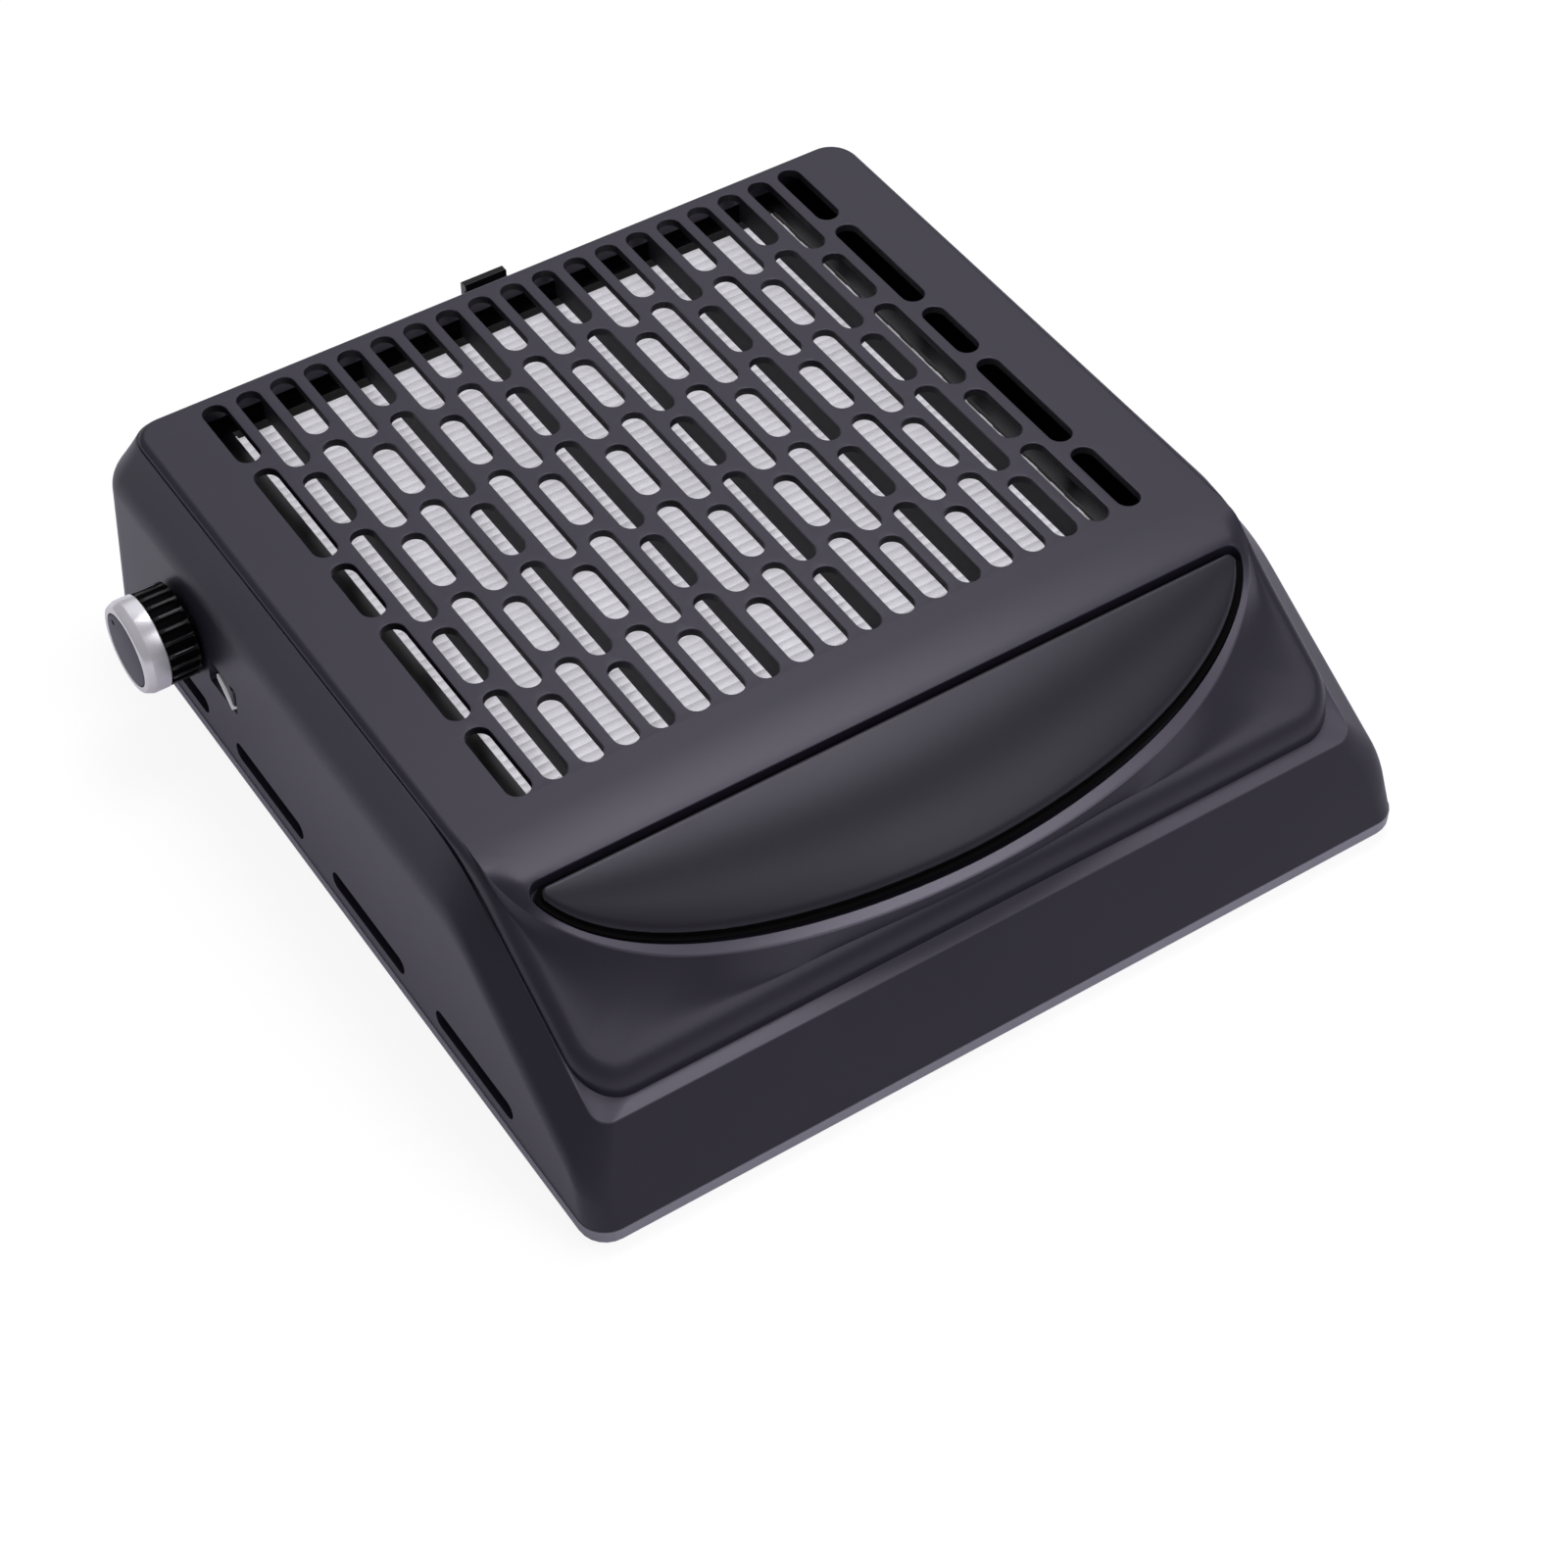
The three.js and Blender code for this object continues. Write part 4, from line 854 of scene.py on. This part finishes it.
def pad_piece(material, shade):
    """A soft pad with rolled edges, on a flange that fills the foot of the groove; the flange and the pad's
    sides are painted near-black as the groove's shade.
    """
    roll, flange = 1.1, 1.6
    flange_top, flange_foot = 2.1, 2.5
    grid, columns = pad_grid()
    rows = len(grid) // columns
    rim = grid_rim(rows, columns)
    top, low = [], []
    for x, y, depth in grid:
        fall = roll * (1 - math.sqrt(max(0.0, 1 - (1 - min(depth, roll) / roll) ** 2)))
        z = pad_top_z(x, y)
        top.append((x, y, z - fall))
        low.append((x, y, z - PAD_THICK))
    count = len(top)
    faces = strip_faces(rows, columns)
    faces += [tuple(k + count for k in f[::-1]) for f in faces]
    points = top + low
    start = len(points)
    for k, index in enumerate(rim):
        x, y, _ = grid[index]
        (ax, ay, _), (bx, by, _) = grid[rim[k - 3]], grid[rim[(k + 3) % len(rim)]]
        span = max(1e-6, math.hypot(bx - ax, by - ay))
        fx, fy = x - flange * (by - ay) / span, y + flange * (bx - ax) / span
        z = pad_top_z(x, y)
        points += [(x, y, z - flange_top), (fx, fy, z - flange_top), (fx, fy, z - flange_foot)]
    for k, index in enumerate(rim):
        after = (k + 1) % len(rim)
        near = [index, *range(start + 3 * k, start + 3 * k + 3), index + count]
        far = [rim[after], *range(start + 3 * after, start + 3 * after + 3), rim[after] + count]
        faces += [(near[j], far[j], far[j + 1], near[j + 1]) for j in range(4)]
    obj = new_object("hand_rest_skin", points, faces, angle=50)
    settle(obj, "case", "hand_rest_pad", material)
    second_finish(obj, shade, in_groove)


# Filter

def filter_piece(material):
    """Folded paper: rounded folds across the width, none quite like the next."""
    low_corner, high_corner = (to_case(corner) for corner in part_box("filter_media"))
    half = (high_corner.x - low_corner.x) / 2
    y0, y1 = low_corner.y, high_corner.y
    z0, z1 = low_corner.z, high_corner.z
    pleats, steps, across = 55, 10, 30
    sheet = 1.4
    count = pleats * steps + 1
    over, under = [], []
    for k in range(count):
        phase = k / steps
        y = lerp(y0, y1, k / (count - 1))
        wave = 0.5 - 0.5 * math.cos(2 * math.pi * phase)
        fold = int(phase)
        for j in range(across + 1):
            x = half * math.sin(math.pi * (j / across - 0.5))
            near_end = math.sin(math.pi * min(1, j / 3, (across - j) / 3))
            sway = 0.22 * math.sin(0.11 * x + 2.1 * fold) * near_end
            top = z1 - 0.5 - 0.45 * (0.5 + 0.5 * math.sin(1.7 * fold + 0.05 * x))
            sealed = float(smoothstep(abs(x), half - 2.2, half - 0.6))
            z = lerp(z0 + sheet, top, lerp(wave**0.8, 1, sealed))
            swayed = min(max(y + sway * wave, y0), y1)
            over.append((x, swayed, z))
            under.append((x, swayed, max(z0, z - sheet)))
    faces = strip_faces(count, across + 1)
    size = len(over)
    faces += [tuple(k + size for k in f[::-1]) for f in faces]
    rim = grid_rim(count, across + 1)
    for p, q in zip(rim, rim[1:] + rim[:1]):
        faces.append((p, q, q + size, p + size))
    obj = new_object("pleated_paper", over + under, faces, angle=70)
    settle(obj, "filter_drawer", "filter_media", material)


# Knob

def spun(profile, ripple=None, steps=96):
    """A closed form round the knob's axis from (x, radius) pairs; ripple may vary the radius by angle."""
    points = []
    for x, r in profile:
        for k in range(steps):
            a = 2 * math.pi * k / steps
            radius = r - (ripple(a, x) if ripple else 0)
            points.append((x, KNOB_Y + radius * math.cos(a), KNOB_Z + radius * math.sin(a)))
    faces = strip_faces(len(profile), steps, closed=True)
    faces += [tuple(range(steps)), tuple(range((len(profile) - 1) * steps, len(profile) * steps))[::-1]]
    return points, faces


def grip_ripple(angle, x):
    """Narrow finger ridges with wide grooves between them, fading out at both ends of the grip."""
    root, end = GRIP_X
    fade = min(1.0, max(0.0, (root - x) / 0.5), max(0.0, (x - end) / 0.4))
    return 0.9 * fade * (1 - float(smoothstep(math.cos(GRIP_RIDGES * angle), 0.1, 0.85)))


def grip_piece(material, groove):
    root, end = GRIP_X
    profile = [(root + 0.3, 7.6), (root + 0.3, 13.2), (root, GRIP_R)]
    profile += [(x, GRIP_R) for x in np.linspace(root - 0.5, end + 0.4, 6)]
    profile += [(end + 0.1, 13.4), (end, 12.9)]
    grip = new_object("grip_ribs", *spun(profile, grip_ripple, steps=20 * GRIP_RIDGES), angle=40)
    settle(grip, "speed_knob", "knob_grip", material)
    # The grooves between the ridges take the near-black finish: painted shade.
    second_finish(grip, groove, lambda x, y, z: math.hypot(y - KNOB_Y, z - KNOB_Z) < GROOVE_R)


def ring_and_cap(bright, grey):
    """The bevelled ring round the knob's outer end, and the flat cap with its dimple inside it."""
    root, face = GRIP_X[1] - 0.2, KNOB_OUT
    ring = [(root, 9), (root, 13.4), (root - 0.3, 13.7), (face + 2.7, 13.7), (face + 2.3, 13.62)]
    ring += [(face + 0.7, 12.95), (face + 0.35, 12.75), (face + 0.1, 12.4), (face, 12.1)]
    ring += [(face, 11.3), (face + 0.1, 11.02), (face + 0.35, 10.9), (face + 1.8, 10.9), (face + 1.8, 9)]
    band = new_object("bevel_ring", *spun(ring, steps=120), angle=28)
    settle(band, "speed_knob", "knob_ring", bright)
    cap = [(face + 1.6, 0.5), (face + 1.6, 10.6), (face + 0.25, 10.6)]
    cap += [(face + 0.08, 10.45), (face, 10.2), (face, 0.5)]
    disc = new_object("cap_disc", *spun(cap, steps=96), angle=30)
    dimple = circle_outline(KNOB_Y + 5.9, KNOB_Z + 5.9, r=0.9, steps=24)
    cut_holes(disc, [prism_tool(dimple, "x", face - 1, face + 0.6)], angle=30)
    settle(disc, "speed_knob", "knob_cap", grey)


# Power rocker

def tilted(x, y):
    """A point of the rocker, drawn level, at the tilt in which it rests."""
    dx, dy = x - ROCKER_X, y - ROCKER_Y
    c, s = math.cos(ROCKER_TILT), math.sin(ROCKER_TILT)
    return ROCKER_X + c * dx - s * dy, ROCKER_Y + s * dx + c * dy


def rocker_piece(material, strip_material):
    """A shallow rocker, almost flush with the wall, and the pale strip along its foot, which glows faintly as
    painted light.
    """
    half_face = [(-1.9, 0), (-2.0, 3), (-2.2, 6.6), (-1.9, 7.1), (-1.2, 7.3)]
    face = [(x, -y) for x, y in half_face[:0:-1]] + half_face
    outline = [tilted(ROCKER_X + x, ROCKER_Y + y) for x, y in face + [(1.5, 6.8), (1.5, -6.8)]]
    foot, seam, top = ROCKER_Z - 3.6, ROCKER_Z - 2.1, ROCKER_Z + 3.9
    body = prism_tool(outline, "z", seam, top)
    body.name = "rocker_cap"
    settle(body, "rocker", "power_rocker", material)
    outline = [tilted(ROCKER_X + x, ROCKER_Y + y) for x, y in box_outline((-2.7, 1), (-6.6, 6.6))]
    strip = prism_tool(outline, "z", foot, seam)
    strip.name = "pale_strip"
    settle(strip, "rocker", "rocker_strip", strip_material)


# Finishes

def linear(color):
    """An sRGB colour from 0 to 255 as linear values."""
    out = []
    for c in color:
        c = c / 255
        out.append(c / 12.92 if c <= 0.04045 else ((c + 0.055) / 1.055) ** 2.4)
    return (*out, 1.0)


def add_node(tree, kind, inputs, operation=None):
    """A node whose inputs are each given a constant or the output of another node."""
    node = tree.nodes.new(kind)
    if operation:
        node.operation = operation
    for name, value in inputs.items():
        if isinstance(value, bpy.types.NodeSocket):
            tree.links.new(value, node.inputs[name])
        else:
            node.inputs[name].default_value = value
    return node


def math_node(tree, operation, *values):
    return add_node(tree, "ShaderNodeMath", dict(enumerate(values)), operation).outputs[0]


def noise_node(tree, coords, scale, detail, stretch=None):
    if stretch:
        mapping = add_node(tree, "ShaderNodeMapping", {"Scale": stretch, "Vector": coords})
        coords = mapping.outputs["Vector"]
    inputs = {"Scale": scale, "Detail": detail, "Vector": coords}
    return add_node(tree, "ShaderNodeTexNoise", inputs).outputs["Fac"]


def finish_of(name, color, rough, vary=0.08, grain=2600, bump=0.12, depth=0.00004, metallic=0.0,
              rough_vary=0.06, mottle=45, stretch=None, specular=0.5, sheen=0.0, coat=0.0, glow=0.0,
              tint=(1, 1, 1, 1), polish=0.0, edge=None):
    """A finish with mottled colour, uneven roughness and a fine grain that shows as bump."""
    mat = bpy.data.materials.new(name)
    mat.use_nodes = True
    tree = mat.node_tree
    shader = tree.nodes["Principled BSDF"]
    shader.inputs["Metallic"].default_value = metallic
    shader.inputs["Specular IOR Level"].default_value = specular
    shader.inputs["Sheen Weight"].default_value = sheen
    shader.inputs["Coat Weight"].default_value = coat
    shader.inputs["Emission Strength"].default_value = glow
    shader.inputs["Specular Tint"].default_value = tint
    coords = tree.nodes.new("ShaderNodeTexCoord").outputs["Object"]
    polished = tree.nodes.new("ShaderNodeAttribute")
    polished.attribute_name = "polish"
    polished = polished.outputs["Fac"]

    patches = noise_node(tree, coords, mottle, 4, stretch)
    ramp = add_node(tree, "ShaderNodeValToRGB", {"Fac": patches})
    low, high = ramp.color_ramp.elements
    low.position, high.position = 0.3, 0.7
    base = linear(color)[:3]
    low.color = (*[c * (1 - vary) for c in base], 1)
    high.color = (*[min(1, c * (1 + vary)) for c in base], 1)
    # Where polish is noted, the colour turns towards the edge colour: a painted highlight, on top of the
    # lower roughness.
    colors = {"Fac": polished, "Color1": ramp.outputs["Color"], "Color2": linear(edge or color)}
    painted_highlight = add_node(tree, "ShaderNodeMixRGB", colors)
    tree.links.new(painted_highlight.outputs["Color"], shader.inputs["Base Color"])

    fine = noise_node(tree, coords, grain, 3, stretch)
    uneven = math_node(tree, "MULTIPLY_ADD", fine, 0.5, math_node(tree, "MULTIPLY", patches, 0.5))
    limits = {"Value": uneven, "To Min": rough - rough_vary, "To Max": rough + rough_vary}
    spread = add_node(tree, "ShaderNodeMapRange", limits).outputs["Result"]
    rubbed = math_node(tree, "MULTIPLY_ADD", polished, -polish, spread)
    tree.links.new(rubbed, shader.inputs["Roughness"])
    relief = add_node(tree, "ShaderNodeBump", {"Strength": bump, "Distance": depth, "Height": fine})
    tree.links.new(relief.outputs["Normal"], shader.inputs["Normal"])
    return mat


PLUM = (0.92, 0.89, 1.0, 1.0)


def finishes():
    return {
        # The charcoal's edge colour is a painted highlight on the rim and the front ledge, where polish is
        # noted.
        "charcoal": finish_of("charcoal_abs", (44, 41, 53), 0.38, vary=0.04, rough_vary=0.03, bump=0.35,
                              tint=PLUM, polish=0.06, edge=(90, 87, 99)),
        # A darker charcoal painted on the slot walls, ribs and underside as shade.
        "charcoal_inside": finish_of("charcoal_inside", (26, 24, 31), 0.65, vary=0.04, specular=0.25),
        "soft_charcoal": finish_of("soft_skin", (32, 30, 38), 0.4, vary=0.04, grain=1500, bump=0.25,
                                   tint=PLUM),
        # The base plate's pale grey is painted light: it stands for the white floor's bounce and reflection
        # on the base band.
        "base_grey": finish_of("base_abs_painted_reflection", (146, 145, 158), 0.42, vary=0.03),
        "dark_plastic": finish_of("dark_abs", (14, 13, 16), 0.55, specular=0.35),
        "black_plastic": finish_of("black_abs", (14, 13, 16), 0.3),
        # Near-black painted shade for the hand rest's groove and for the grip's grooves.
        "groove_black": finish_of("groove_black", (5, 5, 6), 0.85, specular=0.1),
        # The white plastic glows faintly: painted light that brightens the rocker's strip in its recess.
        "white_plastic": finish_of("white_abs_painted_glow", (236, 235, 240), 0.5, vary=0.03, glow=0.22),
        # The filter paper glows faintly: painted light that brightens it under the slots.
        "filter_paper": finish_of("filter_felt_painted_glow", (240, 239, 243), 0.95, vary=0.05, grain=900, bump=0.3,
                                  depth=0.00012, mottle=160, sheen=0.1, glow=0.17),
        "rubber": finish_of("foot_rubber", (26, 25, 27), 0.9, grain=1800, bump=0.3),
        "steel": finish_of("zinc_steel", (185, 185, 190), 0.32, metallic=1, stretch=(1, 1, 8), grain=1400),
        "brass": finish_of("plain_brass", (184, 152, 90), 0.3, metallic=1, grain=1400),
        "bright_ring": finish_of("satin_ring", (252, 251, 254), 0.26, metallic=0.5, vary=0.02, grain=1200,
                                 bump=0.02, rough_vary=0.03),
        "grey_cap": finish_of("spun_cap", (84, 82, 92), 0.5, metallic=0.2, vary=0.04, grain=1200, bump=0.03),
        "board_green": finish_of("board_lacquer", (31, 82, 56), 0.35, vary=0.15, coat=0.3, mottle=300),
    }


def dress_nodes(looks):
    """Every CAD node takes the finish of its slot; the seen ones with plain edges are softened."""
    for part in frame["record"]["subparts"]:
        node = frame["nodes"][part["node"]]
        node.data.materials.clear()
        node.data.materials.append(looks[part["material_slot"]])
        node.data.set_sharp_from_angle(angle=math.radians(30))
        if part["node"] in ("base_plate", "filter_tray", "switch_frame"):
            soften = node.modifiers.new("soft_edges", "BEVEL")
            soften.width = 0.35 * MM
            soften.segments = 2
            soften.limit_method = "ANGLE"
            soften.angle_limit = math.radians(40)


# Stage, light and camera

def mix_shaders(tree, share, first, second, output):
    shaders = {0: share, 1: first.outputs[0], 2: second.outputs[0]}
    mix = add_node(tree, "ShaderNodeMixShader", shaders)
    tree.links.new(mix.outputs[0], tree.nodes[output].inputs["Surface"])


def floor_material():
    """Matt white paint, partly lit evenly for the camera so that it stays white beyond the shadow.

    What the case's gloss mirrors of the floor is a little cooler.
    """
    mat = bpy.data.materials.new("floor_paint")
    mat.use_nodes = True
    tree = mat.node_tree
    shader = tree.nodes["Principled BSDF"]
    shader.inputs["Base Color"].default_value = (0.88, 0.88, 0.88, 1)
    shader.inputs["Roughness"].default_value = 1.0
    shader.inputs["Specular IOR Level"].default_value = 0.0
    ray = tree.nodes.new("ShaderNodeLightPath")
    mirrored, seen = ray.outputs["Is Glossy Ray"], ray.outputs["Is Camera Ray"]
    colors = {"Fac": mirrored, "Color1": (1, 1, 1, 1), "Color2": (0.86, 0.81, 1, 1)}
    cooler = add_node(tree, "ShaderNodeMixRGB", colors).outputs["Color"]
    glow = add_node(tree, "ShaderNodeEmission", {"Color": cooler, "Strength": 1.17})
    share = math_node(tree, "MULTIPLY_ADD", seen, 0.76, math_node(tree, "MULTIPLY", mirrored, 0.27))
    mix_shaders(tree, share, shader, glow, "Material Output")
    return mat


def add_stage():
    size = 6.0
    mesh = bpy.data.meshes.new("floor")
    corners = [(-size, -size, 0), (size, -size, 0), (size, size, 0), (-size, size, 0)]
    mesh.from_pydata(corners, [], [(0, 1, 2, 3)])
    floor = bpy.data.objects.new("floor", mesh)
    floor.location.z = -0.2 * MM
    bpy.context.collection.objects.link(floor)
    mesh.materials.append(floor_material())


COOL = (0.965, 0.95, 1.0)
LAMP_AIM = Vector((0, 0, 0.05))


def add_world(strength):
    """A dim even light all round, seen by the camera as plain white."""
    world = bpy.data.worlds.new("studio")
    bpy.context.scene.world = world
    world.use_nodes = True
    tree = world.node_tree
    sky = tree.nodes["Background"]
    sky.inputs["Color"].default_value = (*COOL, 1)
    sky.inputs["Strength"].default_value = strength
    white = add_node(tree, "ShaderNodeBackground", {"Color": (1, 1, 1, 1), "Strength": 1.0})
    ray = tree.nodes.new("ShaderNodeLightPath")
    either = math_node(tree, "MAXIMUM", ray.outputs["Is Camera Ray"], ray.outputs["Is Transmission Ray"])
    mix_shaders(tree, either, sky, white, "World Output")


def add_lamp(name, place, size, power):
    data = bpy.data.lights.new(name, "AREA")
    data.shape = "RECTANGLE"
    data.size = data.size_y = size
    data.energy = power
    data.color = COOL
    lamp = bpy.data.objects.new(name, data)
    lamp.location = place
    lamp.rotation_mode = "QUATERNION"
    lamp.rotation_quaternion = (LAMP_AIM - Vector(place)).to_track_quat("-Z", "Y")
    bpy.context.collection.objects.link(lamp)


# The photograph's viewpoint: place in case millimetres, and the turn from world to camera axes
CAMERA_AT = (-345.87, -550.88, 694.19)
CAMERA_TURN = (2.3249, -0.6963, 0.2659)
FOCAL_PIXELS = 3449.26
IMAGE_PIXELS = 1600
SENSOR_MM = 36


def add_camera():
    data = bpy.data.cameras.new("camera")
    data.sensor_width = SENSOR_MM
    data.lens = FOCAL_PIXELS / IMAGE_PIXELS * SENSOR_MM
    camera = bpy.data.objects.new("camera", data)
    bpy.context.collection.objects.link(camera)
    turn = Vector(CAMERA_TURN)
    to_camera = Matrix.Rotation(turn.length, 3, turn.normalized())
    flip = Matrix(((1, 0, 0), (0, -1, 0), (0, 0, -1)))
    place = Matrix.Translation(to_frame([CAMERA_AT])[0])
    camera.matrix_world = place @ (flip @ to_camera).transposed().to_4x4()
    bpy.context.scene.camera = camera


looks = finishes()
housing_piece(looks["charcoal"])
cover_piece(looks["charcoal"], looks["charcoal_inside"])
pad_piece(looks["soft_charcoal"], looks["groove_black"])
filter_piece(looks["filter_paper"])
grip_piece(looks["black_plastic"], looks["groove_black"])
ring_and_cap(looks["bright_ring"], looks["grey_cap"])
rocker_piece(looks["charcoal"], looks["white_plastic"])
dress_nodes(looks)

add_stage()
add_world(0.25)
add_lamp("front_light", (0.85, -1.4, 1.65), size=1.2, power=9.5)
add_lamp("rear_wall", (0.64, 1.24, 1.29), size=1.6, power=5.5)
add_lamp("softbox", (0.34, 0.26, 1.2), size=0.5, power=4.6)
add_camera()
bpy.context.scene.view_settings.view_transform = "Standard"
